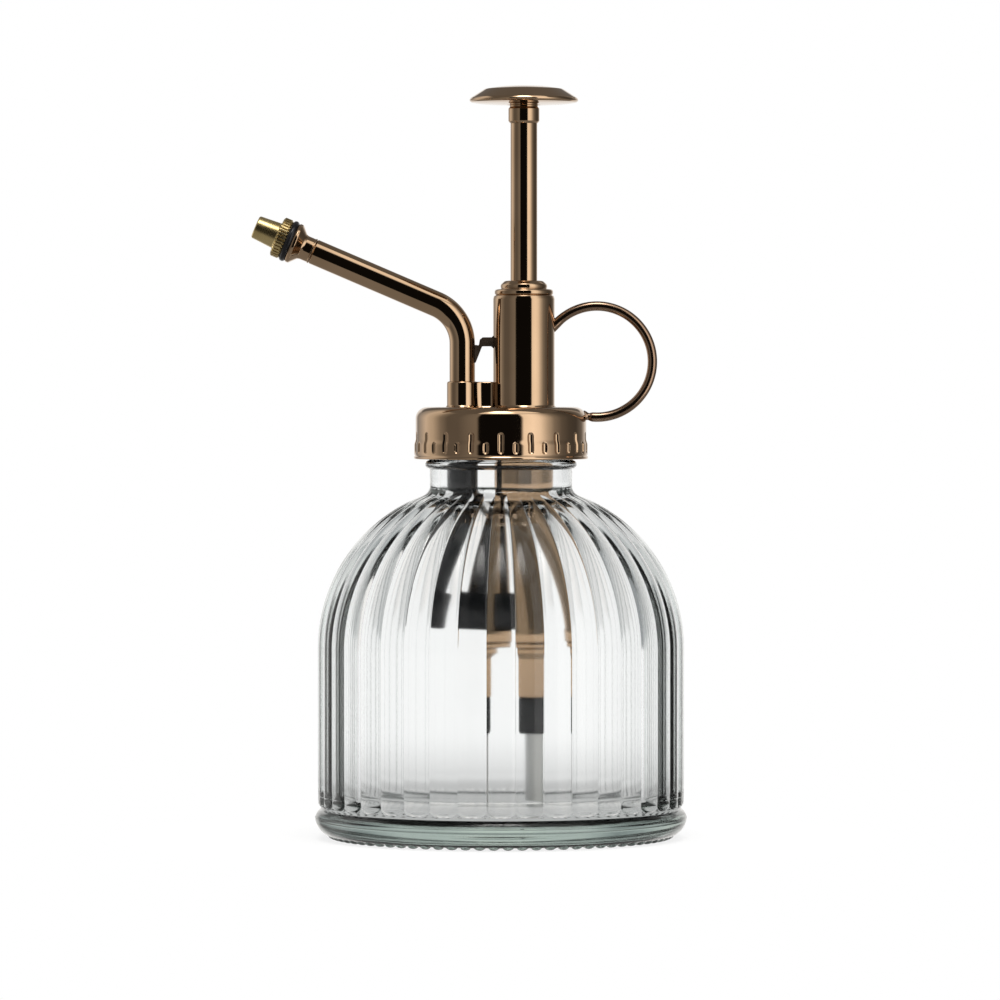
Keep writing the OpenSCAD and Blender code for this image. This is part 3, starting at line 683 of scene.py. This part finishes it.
def turret():
    """Spout collar and web. The web is a flat-sided wall with hollow corners where it meets both
    round parts."""
    foot_z = box("screw_cap")[1].z
    top_z = box("turret")[1].z
    radius = 3.22
    tube_r = SPOUT_R
    rim = 0.42
    collar = rounded([
        (tube_r, foot_z), (radius + 0.3, foot_z, 0.02), (radius, foot_z + 0.35, 0.4),
        (radius, top_z - 0.5),
    ])
    collar += arc(radius - rim, top_z - rim, rim, 5, 90, 10)
    collar += [(tube_r, top_z - 0.06)]
    lathe("spout_collar", collar, "head", BRONZE, ["turret"], RISER, segments=120, closed=True)

    riser_x = RISER.translation.x
    pump_x = PUMP.translation.x
    barrel_r = span("pump_barrel", PUMP)[2]
    start = riser_x + math.sqrt(radius ** 2 - 2.1 ** 2)
    end = pump_x - math.sqrt(barrel_r ** 2 - 1.9 ** 2)
    columns = 36
    edge = 0.3
    rise = top_z - 0.1
    verts = []
    for i in range(columns + 1):
        x = start + (end - start) * i / columns
        half = 1.2 + 0.9 * max(0, 1 - (x - start) / 2.1) ** 2
        half += 0.7 * max(0, 1 - (end - x) / 0.9) ** 2
        profile = [(-half - 0.2, foot_z), (-half, foot_z + 0.25)]
        profile += [
            (-half + edge - edge * math.cos(a), rise - edge + edge * math.sin(a))
            for a in np.linspace(0, math.pi / 2, 6)
        ]
        profile += [(-y, z) for y, z in reversed(profile)]
        verts += [(x, y, z) for y, z in profile]
    faces = tube_faces(columns + 1, len(profile))
    make_piece("turret_web", verts, faces, "head", BRONZE, sharp_angle=40)


def plunger():
    """Rod with its piston stud and neck, the ferrule on the neck, and the mushroom knob."""
    rod_low, rod_high, rod_r = span("plunger_rod", PUMP)
    ferrule_low, ferrule_high, ferrule_r = span("knob_ferrule", PUMP)
    piston_top = span("piston_head", PUMP)[1]
    stud_r, neck_r = 1.48, 1.98
    outline = rounded([
        (0, rod_low), (stud_r, rod_low, 0.2), (stud_r, piston_top),
        (rod_r - 0.3, piston_top + 0.01, 0.1),
        (rod_r, piston_top + 0.3, 0.1), (rod_r, ferrule_low - 0.01, 0.05),
        (neck_r, ferrule_low - 0.01), (neck_r, rod_high, 0.2), (0, rod_high),
    ])
    lathe("rod", outline, "plunger", BRONZE, ["plunger_rod"], PUMP, segments=120)
    ferrule = rounded([
        (neck_r, ferrule_low), (ferrule_r - 0.35, ferrule_low, 0.1),
        (ferrule_r, ferrule_low + 0.45, 0.2), (ferrule_r, ferrule_high - 0.85, 0.2),
        (ferrule_r - 0.3, ferrule_high - 0.5, 0.15), (ferrule_r - 0.3, ferrule_high, 0.05),
        (neck_r, ferrule_high),
    ])
    lathe("ferrule", ferrule, "plunger", BRONZE, ["knob_ferrule"], PUMP, segments=120, closed=True)

    low_z, top_z, radius = span("knob", PUMP)
    hub_z = ferrule_high
    rim_z = hub_z + 0.45
    cap = rounded([
        (0, hub_z + 2), (neck_r + 0.02, hub_z + 2), (neck_r + 0.02, hub_z + 0.01),
        (ferrule_r - 0.28, hub_z + 0.01, 0.05), (ferrule_r - 0.2, hub_z + 0.3, 0.1),
        (ferrule_r + 0.3, low_z + 0.02, 0.2), (radius - 2.2, rim_z - 0.25, 2.0),
        (radius - 0.5, rim_z, 0.3), (radius, rim_z + 0.4, 0.35),
        (radius - 0.35, rim_z + 0.95, 0.6), (radius - 3.3, top_z - 0.62, 1.3),
        (radius - 6.5, top_z - 0.12, 6.0), (0, top_z),
    ], step=6)
    lathe("push_knob", cap, "plunger", BRONZE, ["knob"], PUMP, segments=192, sharp_angle=40)


# ------------------------------------------------------------------ spout and nozzle

def spout_centreline(start_z, stop):
    """Points up the upright, round the bend and out along the arm, to stop from the nozzle's tip."""
    bend_r = 9.0
    joint = JOINTS["nozzle_turn"]
    elbow = Vector(joint["pos_m"]) / MM
    forward = Vector(joint["axis"]).normalized()
    turn = math.acos(forward.z)
    tangent = bend_r * math.tan(turn / 2)
    bend_z = elbow.z - tangent
    centre = Vector((elbow.x - bend_r, 0, bend_z))
    path = [Vector((elbow.x, 0, z)) for z in np.linspace(start_z, bend_z, 12)]
    for a in np.linspace(0, turn, 40)[1:]:
        path.append(centre + Vector((math.cos(a), 0, math.sin(a))) * bend_r)
    tip = ARM.translation
    reach = (tip - elbow).dot(forward) - stop
    path += [elbow + forward * s for s in np.linspace(tangent, reach, 24)[1:]]
    return path


def spout():
    """Bent tube, pinched a little where it meets the fitting, and the spigot below it."""
    foot_z = box("screw_cap")[1].z + 1.02
    path = spout_centreline(foot_z, 13.15)
    radii = [SPOUT_R - 0.02] * len(path)
    radii[-1] = SPOUT_R - 0.16
    path[-2] = path[-1] + (path[-2] - path[-1]).normalized() * 0.18
    verts, faces = sweep(path, radii, sides=96)
    make_piece("spout", verts, faces, "head", BRONZE, ["spout_tube"])

    spigot_z = box("spout_tube")[0].z
    spigot_r = 2.28
    spigot = rounded([
        (0, spigot_z), (spigot_r, spigot_z, 0.3), (spigot_r, foot_z, 0.05), (0, foot_z),
    ])
    lathe("spout_spigot", spigot, "head", BRONZE, (), RISER, segments=72)


def spout_brace():
    """Clip from the barrel to the spout: a short arm with a rounded top, then a tapering tail. It is bronze
    like the barrel, painted near-black as shade.
    """
    riser_x = RISER.translation.x
    back_x = riser_x + 2.66
    barrel_x = PUMP.translation.x - span("pump_barrel", PUMP)[2] + 0.12
    low, high = box("spout_brace")
    arm_top, arm_low = high.z, high.z - 1.9
    side = rounded([
        (barrel_x, arm_low - 0.5), (barrel_x - 0.5, arm_low, 0.5),
        (back_x + 1.5, arm_low, 0.3), (back_x + 0.15, low.z + 0.1, 0.1), (back_x - 0.1, low.z, 0.1),
        (back_x - 0.1, arm_low + 0.35, 0.2), (back_x + 0.8, arm_low + 0.2, 0.2),
        (back_x + 1.0, arm_top - 0.5, 0.3), (back_x + 1.6, arm_top, 0.5),
        (barrel_x - 0.4, arm_top, 0.3), (barrel_x, arm_top + 0.4),
    ])
    half = 1.1
    verts = [(x, y, z) for y in (-half, half) for x, z in side]
    piece = make_piece("brace_clip", verts, tube_faces(2, len(side)), "head", BRACE_PAINTED_SHADE, ["spout_brace"])
    bevel = piece.modifiers.new("edges", "BEVEL")
    bevel.width = 0.22 * MM
    bevel.segments = 3
    bevel.limit_method = "ANGLE"
    bevel.angle_limit = math.radians(50)


KNURLS = 34


def nozzle_group():
    """Bell fitting on the arm, O-ring and knurled nozzle. Heights run back from the nozzle's tip."""
    fitting_low, fitting_high, bell_r = span("spout_fitting", ARM)
    seal_low, seal_high, seal_r = span("nozzle_seal", ARM)
    nozzle_low, nozzle_high, flange_r = span("nozzle", ARM)
    bell_z = seal_high
    neck_r, neck_z = 2.6, 11.1
    lip_r, lip_z = 2.74, 12.8
    bore_r, stub_r, seat_r, plug_r = 0.9, 2.0, 3.0, 1.58
    fitting = rounded([
        (bore_r, fitting_low), (stub_r, fitting_low, 0.2), (stub_r, seal_low + 0.05),
        (seat_r, seal_low + 0.05), (seat_r, bell_z), (bell_r - 0.15, bell_z, 0.05),
        (bell_r, bell_z + 0.3, 0.25), (bell_r - 0.05, bell_z + 0.8, 0.3),
        (lip_r, neck_z - 0.5, 0.6), (neck_r, neck_z, 0.3),
        (neck_r, lip_z - 0.1, 0.1), (lip_r, lip_z, 0.1),
        (lip_r, lip_z + 0.25, 0.1), (lip_r - 0.25, lip_z + 0.32, 0.05),
        (plug_r, lip_z + 0.32), (plug_r, fitting_high), (bore_r, fitting_high),
    ], step=8)
    lathe("bell_fitting", fitting, "head", BRONZE, ["spout_fitting"], ARM, segments=120, closed=True)

    section = (seal_high - seal_low) / 2
    ring = arc(seal_r - section, (seal_low + seal_high) / 2, section, 0, 350, 10)
    lathe("o_ring", ring, "seal", RUBBER, ["nozzle_seal"], ARM, segments=144, closed=True,
          sharp_angle=80)

    front = nozzle_low
    flange_low = front + 4.94
    orifice_r, mouth_r = 0.36, 2.1
    shape = rounded([
        (orifice_r, front + 0.5), (0.75, front + 0.25, 0.1), (1.5, front + 0.18, 0.1),
        (1.75, front, 0.1), (2.25, front, 0.1), (2.45, front + 0.22, 0.1),
        (2.78, flange_low - 0.2, 0.1), (2.95, flange_low, 0.15),
        (flange_r - 0.4, flange_low, 0.1),
    ])
    knurl_from = len(shape)
    shape += [(flange_r, flange_low + step) for step in (0.28, 0.7, 1.2)]
    shape += [(flange_r, nozzle_high - 0.3)]
    knurl_to = len(shape)
    shape += rounded([
        (flange_r - 0.3, nozzle_high), (mouth_r, nozzle_high), (mouth_r - 0.02, front + 2),
        (orifice_r, front + 0.8),
    ])

    def knurl(i, angles):
        """Straight grooves across the flange's rim."""
        if not knurl_from <= i < knurl_to:
            return np.zeros(len(angles))
        across = np.abs(((angles * KNURLS / (2 * math.pi)) % 1.0) - 0.5) * 2
        return -0.3 * smoothstep(0.55, 0.75, across)

    lathe("mist_nozzle", shape, "nozzle", BRASS, ["nozzle"], ARM, segments=KNURLS * 14, closed=True,
          offset=knurl, sharp_angle=38)


# ------------------------------------------------------------------ finger ring

def finger_ring():
    """Wire ring brazed to the barrel, where it ends in a mitre, and to the cap, where it has a
    narrow neck."""
    low, high = box("handle_ring")
    wire_r = (high.y - low.y) / 2
    ring_r = 11.64
    centre = Vector((high.x - wire_r - ring_r, 0, high.z - wire_r - ring_r))
    barrel_x = PUMP.translation.x + span("pump_barrel", PUMP)[2]
    inner_x = barrel_x - 0.45
    bend, cap_end = math.radians(134), -math.acos(-3.0 / ring_r)
    inward = Vector((-math.sin(bend), 0, math.cos(bend)))
    start = centre + Vector((math.cos(bend), 0, math.sin(bend))) * ring_r
    reach = (start.x - inner_x) / -inward.x
    path = [start + inward * reach]
    path += [start + inward * s for s in np.linspace(reach - 1.3, 0, 8)]
    angles = np.linspace(bend, cap_end, 240)[1:]
    path += [centre + Vector((math.cos(a), 0, math.sin(a))) * ring_r for a in angles]
    along = np.cumsum([0.0] + [(path[i + 1] - path[i]).length for i in range(len(path) - 1)])
    radii = []
    for from_barrel in along:
        from_cap = along[-1] - from_barrel
        braze = 0.12 * math.exp(-(from_barrel / 1.6) ** 2)
        neck = -0.25 * math.exp(-((from_cap - 1.25) / 0.5) ** 2)
        blob = 0.08 * math.exp(-(from_cap / 0.8) ** 2)
        radii.append(wire_r + braze + neck + blob)
    sides = 56
    verts, faces = sweep(path, radii, sides)
    for k in range(sides):
        verts[k] = verts[k] + inward * ((inner_x - verts[k].x) / inward.x)
    # The wire's darker bronze is painted shade.
    make_piece("finger_ring", verts, faces, "head", BRONZE_WIRE_PAINTED_SHADE, ["handle_ring"])


# ------------------------------------------------------------------ inside the bottle

def riser():
    """Black tube from the valve block up to the spout's spigot."""
    low_z, high_z, radius = span("riser_tube", RISER)
    bore = 2.3
    outline = rounded([
        (bore, low_z), (radius, low_z, 0.2), (radius, high_z, 0.2), (bore, high_z),
    ])
    lathe("riser", outline, "head", BLACK, ["riser_tube"], RISER, segments=96, closed=True)


def valve_housing():
    """Moulded valve block: a round boss under the riser that widens into a saddle against the barrel."""
    low, high = box("valve_block")
    riser_x = RISER.translation.x
    boss_r, half = riser_x - low.x, high.y
    middle_x = riser_x / 2
    outline = [
        (riser_x - boss_r * math.cos(a), -boss_r * math.sin(a))
        for a in np.linspace(math.pi / 2, -math.pi / 2, 36)
    ]
    outline += [(middle_x - 0.8, boss_r), (middle_x, half), (high.x - 0.4, half)]
    hollow_r = span("pump_barrel", PUMP)[2] - 0.3
    pump_x = PUMP.translation.x
    reach = math.asin(min(1.0, (half - 0.3) / hollow_r))
    outline += [
        (pump_x - hollow_r * math.cos(a), hollow_r * math.sin(a)) for a in np.linspace(reach, -reach, 30)
    ]
    outline += [(high.x - 0.4, -half), (middle_x, -half), (middle_x - 0.8, -boss_r)]
    points = np.array(outline)
    ahead = np.roll(points, -1, axis=0) - np.roll(points, 1, axis=0)
    inward = np.stack([ahead[:, 1], -ahead[:, 0]], axis=1)
    inward /= np.linalg.norm(inward, axis=1, keepdims=True)
    edge = 0.45
    turn = np.linspace(0, math.pi / 2, 5)
    levels = [(low.z + edge * (1 - math.sin(a)), edge * (1 - math.cos(a))) for a in turn[::-1]]
    levels += [(high.z - edge * (1 - math.sin(a)), edge * (1 - math.cos(a))) for a in turn]
    verts = []
    for z, inset in levels:
        verts += [(x, y, z) for x, y in points + inward * inset]
    faces = tube_faces(len(levels), len(points))
    make_piece("valve_housing", verts, faces, "head", BLACK, ["valve_block"])


def foot_valve():
    """Stepped bronze body of the inlet valve, and the connector that holds the dip tube."""
    low_z, high_z, _ = span("foot_valve_body", PUMP)
    neck_z = box("tube_adapter")[1].z
    seat_z = box("pump_barrel")[0].z
    spigot_r, port_r, chamber_r, plug_r = 2.38, 1.5, 2.55, 5.36
    body_r, collar_r, flange_r = 3.5, 4.4, 6.1
    ball_seat_z = 37.4
    outline = rounded([
        (port_r, low_z), (spigot_r, low_z, 0.2), (spigot_r, neck_z), (body_r, neck_z, 0.3),
        (body_r, seat_z - 3.2, 0.4), (collar_r, seat_z - 2.2, 0.4),
        (collar_r, seat_z - 1.2, 0.3), (flange_r, seat_z - 1, 0.2),
        (flange_r, seat_z - 0.01, 0.2), (plug_r, seat_z - 0.01), (plug_r, high_z, 0.2),
        (chamber_r, high_z), (chamber_r, ball_seat_z + 1), (port_r, ball_seat_z),
    ])
    lathe("inlet_housing", outline, "head", BRONZE, ["foot_valve_body"], PUMP, segments=120, closed=True)

    low_z, high_z, radius = span("tube_adapter", PUMP)
    tube_r, stop_r, socket_r = 2.02, 1.4, 2.42
    stop_z = low_z + 2.8
    shape = rounded([
        (tube_r, low_z), (radius - 0.4, low_z, 0.2), (radius, low_z + 0.6, 0.3),
        (radius, high_z - 0.4, 0.2), (radius - 0.3, high_z - 0.01, 0.1),
        (socket_r, high_z - 0.01), (socket_r, stop_z + 0.6), (stop_r, stop_z + 0.4),
        (stop_r, stop_z), (tube_r, stop_z),
    ])
    lathe("tube_connector", shape, "head", BLACK, ["tube_adapter"], PUMP, segments=96, closed=True)


def dip_tube():
    """Thin-walled tube whose lower end is cut on the slant."""
    low_z, high_z, radius = span("dip_tube", PUMP)
    bore = radius - 0.6
    slant = math.tan(math.radians(35)) * 0.5
    sides, steps = 64, 24
    shares = np.linspace(0, 1, steps + 1)
    rows = [(radius, share) for share in shares] + [(bore, share) for share in shares[::-1]]
    verts = []
    for wall_r, share in rows:
        for k in range(sides):
            a = 2 * math.pi * k / sides
            x, y = wall_r * math.cos(a), wall_r * math.sin(a)
            foot = low_z + max(0.0, (x + radius) * slant)
            verts.append((x, y, foot + (high_z - foot) * share))
    faces = tube_faces(len(rows), sides, closed=True)
    make_piece("suction_tube", verts, faces, "head", TUBE, ["dip_tube"], PUMP)


def spring(name, node, place, turns, wire_r):
    """A coil of wire filling the CAD node's height, its turns a little closer together near both ends."""
    ends = span(node, place)
    low_z, high_z, outer_r = ends
    coil_r = outer_r - wire_r
    length = high_z - low_z - 2 * wire_r
    crowding = 0.035
    count = turns * 28
    path = []
    for i in range(count + 1):
        t = i / count
        a = 2 * math.pi * turns * t
        rise = t - crowding * math.sin(2 * math.pi * t)
        path.append((coil_r * math.cos(a), coil_r * math.sin(a), low_z + wire_r + length * rise))
    verts, faces = sweep(path, [wire_r] * len(path), sides=12)
    piece = make_piece(name, verts, faces, "head", STEEL, [node], place)
    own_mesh(piece)


def springs():
    """The plunger's return spring and the outlet ball's light spring."""
    spring("return_coil", "return_spring", PUMP, 14, 0.45)
    spring("outlet_coil", "outlet_spring", RISER, 6, 0.15)


def plain_nodes():
    """CAD nodes that are right as they are and only need their finish."""
    finishes = {
        "cap_gasket": RUBBER, "retaining_nut": BLACK, "rod_seal": RUBBER, "seal_washer": STEEL,
        "swirl_insert": WHITE, "piston_head": WHITE, "piston_seal": RUBBER, "piston_nut": BRASS,
        "outlet_ball": STEEL, "inlet_ball": STEEL, "ball_retainer": WHITE,
    }
    for name, finish in finishes.items():
        materials = frame["nodes"][name].data.materials
        materials.clear()
        materials.append(finish.material)


# ------------------------------------------------------------------ stage

def backdrop():
    """World seen by reflections and refractions as a studio: levels by azimuth, a top light and a
    pale ground."""
    world = bpy.data.worlds.new("studio")
    bpy.context.scene.world = world
    world.use_nodes = True
    world.node_tree.nodes.clear()
    node = Nodes(world.node_tree).node

    def calc(operation, a, b=0.0):
        return node("ShaderNodeMath", {0: a, 1: b}, operation=operation).outputs[0]

    def ramp_between(value, start, end, rising):
        inputs = {"Value": value, "From Min": start, "From Max": end,
                  "To Min": 1.0 - rising, "To Max": rising}
        return node("ShaderNodeMapRange", inputs, interpolation_type="SMOOTHSTEP").outputs[0]

    def band(value, low, high, soft):
        """1 between low and high, fading over soft on either side."""
        rising = ramp_between(value, low - soft, low + soft, 1.0)
        falling = ramp_between(value, high - soft, high + soft, 0.0)
        return calc("MULTIPLY", rising, falling)

    def towards(value, level, amount):
        """value where amount is 0, level where it is 1."""
        kept = calc("MULTIPLY", value, calc("SUBTRACT", 1.0, amount))
        return calc("ADD", kept, calc("MULTIPLY", amount, level))

    def dimmed(value, where, amount):
        """value less the share amount of it, where the band is 1."""
        return calc("MULTIPLY", value, calc("SUBTRACT", 1.0, calc("MULTIPLY", where, amount)))

    def background(colour, strength):
        return node("ShaderNodeBackground", {"Color": colour, "Strength": strength}).outputs[0]

    def mixed(factor, first, second):
        return node("ShaderNodeMixShader", {0: factor, 1: first, 2: second}).outputs[0]

    direction = node("ShaderNodeTexCoord").outputs["Generated"]
    x, y, z = node("ShaderNodeSeparateXYZ", {0: direction}).outputs
    azimuth = calc("MULTIPLY", calc("ARCTAN2", x, calc("MULTIPLY", y, -1.0)), 180 / math.pi)
    elevation = calc("MULTIPLY", calc("ARCSINE", z), 180 / math.pi)

    # Degrees and light level. Azimuth 0 is the side the camera stands on; the back is plus or minus 180.
    panels = [
        (-180, 1.0), (-162, 1.0), (-152, 0.35), (-135, 0.7), (-122, 1.1), (-105, 0.9),
        (-90, 0.4), (-77, 0.2), (-60, 0.2), (-44, 0.3), (-33, 0.35), (-29.5, 0.008),
        (27.5, 0.008), (31, 1.7), (44, 1.85), (55, 1.6), (66, 0.9), (77, 0.4),
        (90, 0.2), (105, 0.12), (122, 0.1), (140, 0.25), (158, 1.0), (180, 1.0),
    ]
    ramp = node("ShaderNodeValToRGB", {"Fac": calc("ADD", calc("DIVIDE", azimuth, 360.0), 0.5)})
    stops = ramp.color_ramp.elements
    for i, (degrees, level) in enumerate(panels):
        position = degrees / 360 + 0.5
        stop = stops[i] if i < 2 else stops.new(position)
        stop.position = position
        stop.color = (level / 2, level / 2, level / 2, 1.0)
    wall = calc("MULTIPLY", ramp.outputs["Color"], 2.0)

    away = calc("ABSOLUTE", azimuth)
    high_back = calc("MULTIPLY", calc("GREATER_THAN", away, 150.0), band(elevation, 17.0, 100.0, 2.5))
    above = calc("MAXIMUM", band(elevation, 47.0, 100.0, 3.0), high_back)
    below = band(elevation, -100.0, -28.0, 2.0)
    top = calc("MULTIPLY", band(elevation, 50.0, 80.0, 5.0), band(azimuth, -40.0, 76.0, 3.0))
    softbox = calc("MULTIPLY", band(azimuth, -24.0, 24.0, 10.0), band(elevation, 60.0, 80.0, 9.0))
    top_level = calc("ADD", calc("MULTIPLY", softbox, 8.0), 1.6)
    bright = towards(towards(towards(wall, 0.2, above), 0.33, below), top_level, top)

    # What is seen through the glass is softer, dimmer on the near side, and cooler where it is dim.
    soft_wall = calc("MINIMUM", calc("ADD", calc("MULTIPLY", wall, 0.75), 0.25), 1.0)
    soft_wall = dimmed(soft_wall, band(away, 140.0, 171.0, 5.0), 0.2)
    soft_wall = dimmed(soft_wall, band(azimuth, -95.0, 95.0, 15.0), 0.4)
    cool, warm = (0.86, 0.95, 1.0, 1.0), (0.97, 0.945, 0.925, 1.0)
    warmth = node("ShaderNodeMixRGB", {"Fac": soft_wall, "Color1": cool, "Color2": warm}, use_clamp=True)

    path = node("ShaderNodeLightPath")
    clear = mixed(path.outputs["Is Transmission Ray"], background((1.0, 0.985, 0.96, 1.0), bright),
                  background(warmth.outputs["Color"], soft_wall))
    plain = background((1.0, 1.0, 1.0, 1.0), 1.0)
    node("ShaderNodeOutputWorld", {"Surface": mixed(path.outputs["Is Camera Ray"], clear, plain)})


def floor():
    """A wide pale floor that brightens to the backdrop away from the object, so no horizon shows.
    Reflections and refractions see it glow with painted shade, at half strength near the object.
    """
    size = 8.0
    mesh = bpy.data.meshes.new("floor")
    corners = [(-size, -size, 0), (size, -size, 0), (size, size, 0), (-size, size, 0)]
    mesh.from_pydata(corners, [], [(0, 1, 2, 3)])
    shader = Shader("pale_floor")
    node = shader.node
    white = (1.0, 1.0, 1.0, 1.0)
    colour = shader.tint(shader.noise(40.0, detail=3.0), (0.93, 0.93, 0.93), (0.95, 0.95, 0.95))
    shader.set(Base_Color=colour, Roughness=0.6, Specular_IOR_Level=0.2)
    distance = node("ShaderNodeVectorMath", {0: shader.coords}, operation="LENGTH").outputs["Value"]
    inputs = {"Value": distance, "From Min": 0.030, "From Max": 0.085, "To Min": 0.8}
    fade = node("ShaderNodeMapRange", inputs, interpolation_type="SMOOTHSTEP").outputs[0]
    glow = node("ShaderNodeEmission", {"Color": white, "Strength": 1.0})
    seen = node("ShaderNodeMixShader", {0: fade, 1: shader.bsdf.outputs[0], 2: glow.outputs[0]})
    # Painted shade: reflections and refractions see the floor glow at half strength near the object, rising
    # to full strength away from it.
    level = shader.spread(distance, 0.5, 1.0, start=0.045, end=0.35)
    shade = node("ShaderNodeEmission", {"Color": white, "Strength": level})
    direct = node("ShaderNodeLightPath").outputs["Is Camera Ray"]
    mix = node("ShaderNodeMixShader", {0: direct, 1: shade.outputs[0], 2: seen.outputs[0]})
    shader.feed(shader.tree.nodes["Material Output"].inputs["Surface"], mix.outputs[0])
    mesh.materials.append(shader.material)
    ground = bpy.data.objects.new("floor", mesh)
    bpy.context.scene.collection.objects.link(ground)
    ground.visible_glossy = False


def overhead_light():
    """A large soft light above, for the floor's shadow. Reflections see the backdrop instead."""
    data = bpy.data.lights.new("overhead", "AREA")
    data.shape = "RECTANGLE"
    data.size = data.size_y = 1.4
    data.energy = 14.0
    lamp = bpy.data.objects.new("overhead", data)
    lamp.location = (0.0, -0.1, 1.1)
    aim_at(lamp, Vector((0, 0, 0.05)))
    lamp.visible_camera = False
    lamp.visible_glossy = False
    lamp.visible_transmission = False
    bpy.context.scene.collection.objects.link(lamp)


def aim_at(thing, target):
    """Turns a light or a camera so that it looks at the target."""
    thing.rotation_euler = (target - thing.location).to_track_quat("-Z", "Y").to_euler()


def camera():
    """A long lens, almost level, as a product is photographed."""
    data = bpy.data.cameras.new("camera")
    data.sensor_width = 36.0
    data.lens = 214.7
    data.clip_start, data.clip_end = 0.1, 50.0
    cam = bpy.data.objects.new("camera", data)
    cam.location = (-0.0002, -1.25, 0.096)
    aim_at(cam, Vector((-0.0002, 0.0, 0.0709)))
    bpy.context.scene.collection.objects.link(cam)
    bpy.context.scene.camera = cam


def studio():
    """Backdrop, floor, light and camera, and a plain view of colours."""
    backdrop()
    floor()
    overhead_light()
    camera()
    bpy.context.scene.view_settings.view_transform = "Standard"
    bpy.context.scene.view_settings.look = "None"


bottle()
screw_cap()
pump_barrel()
gland_nut()
turret()
plunger()
spout()
spout_brace()
nozzle_group()
finger_ring()
riser()
valve_housing()
foot_valve()
dip_tube()
springs()
plain_nodes()
studio()
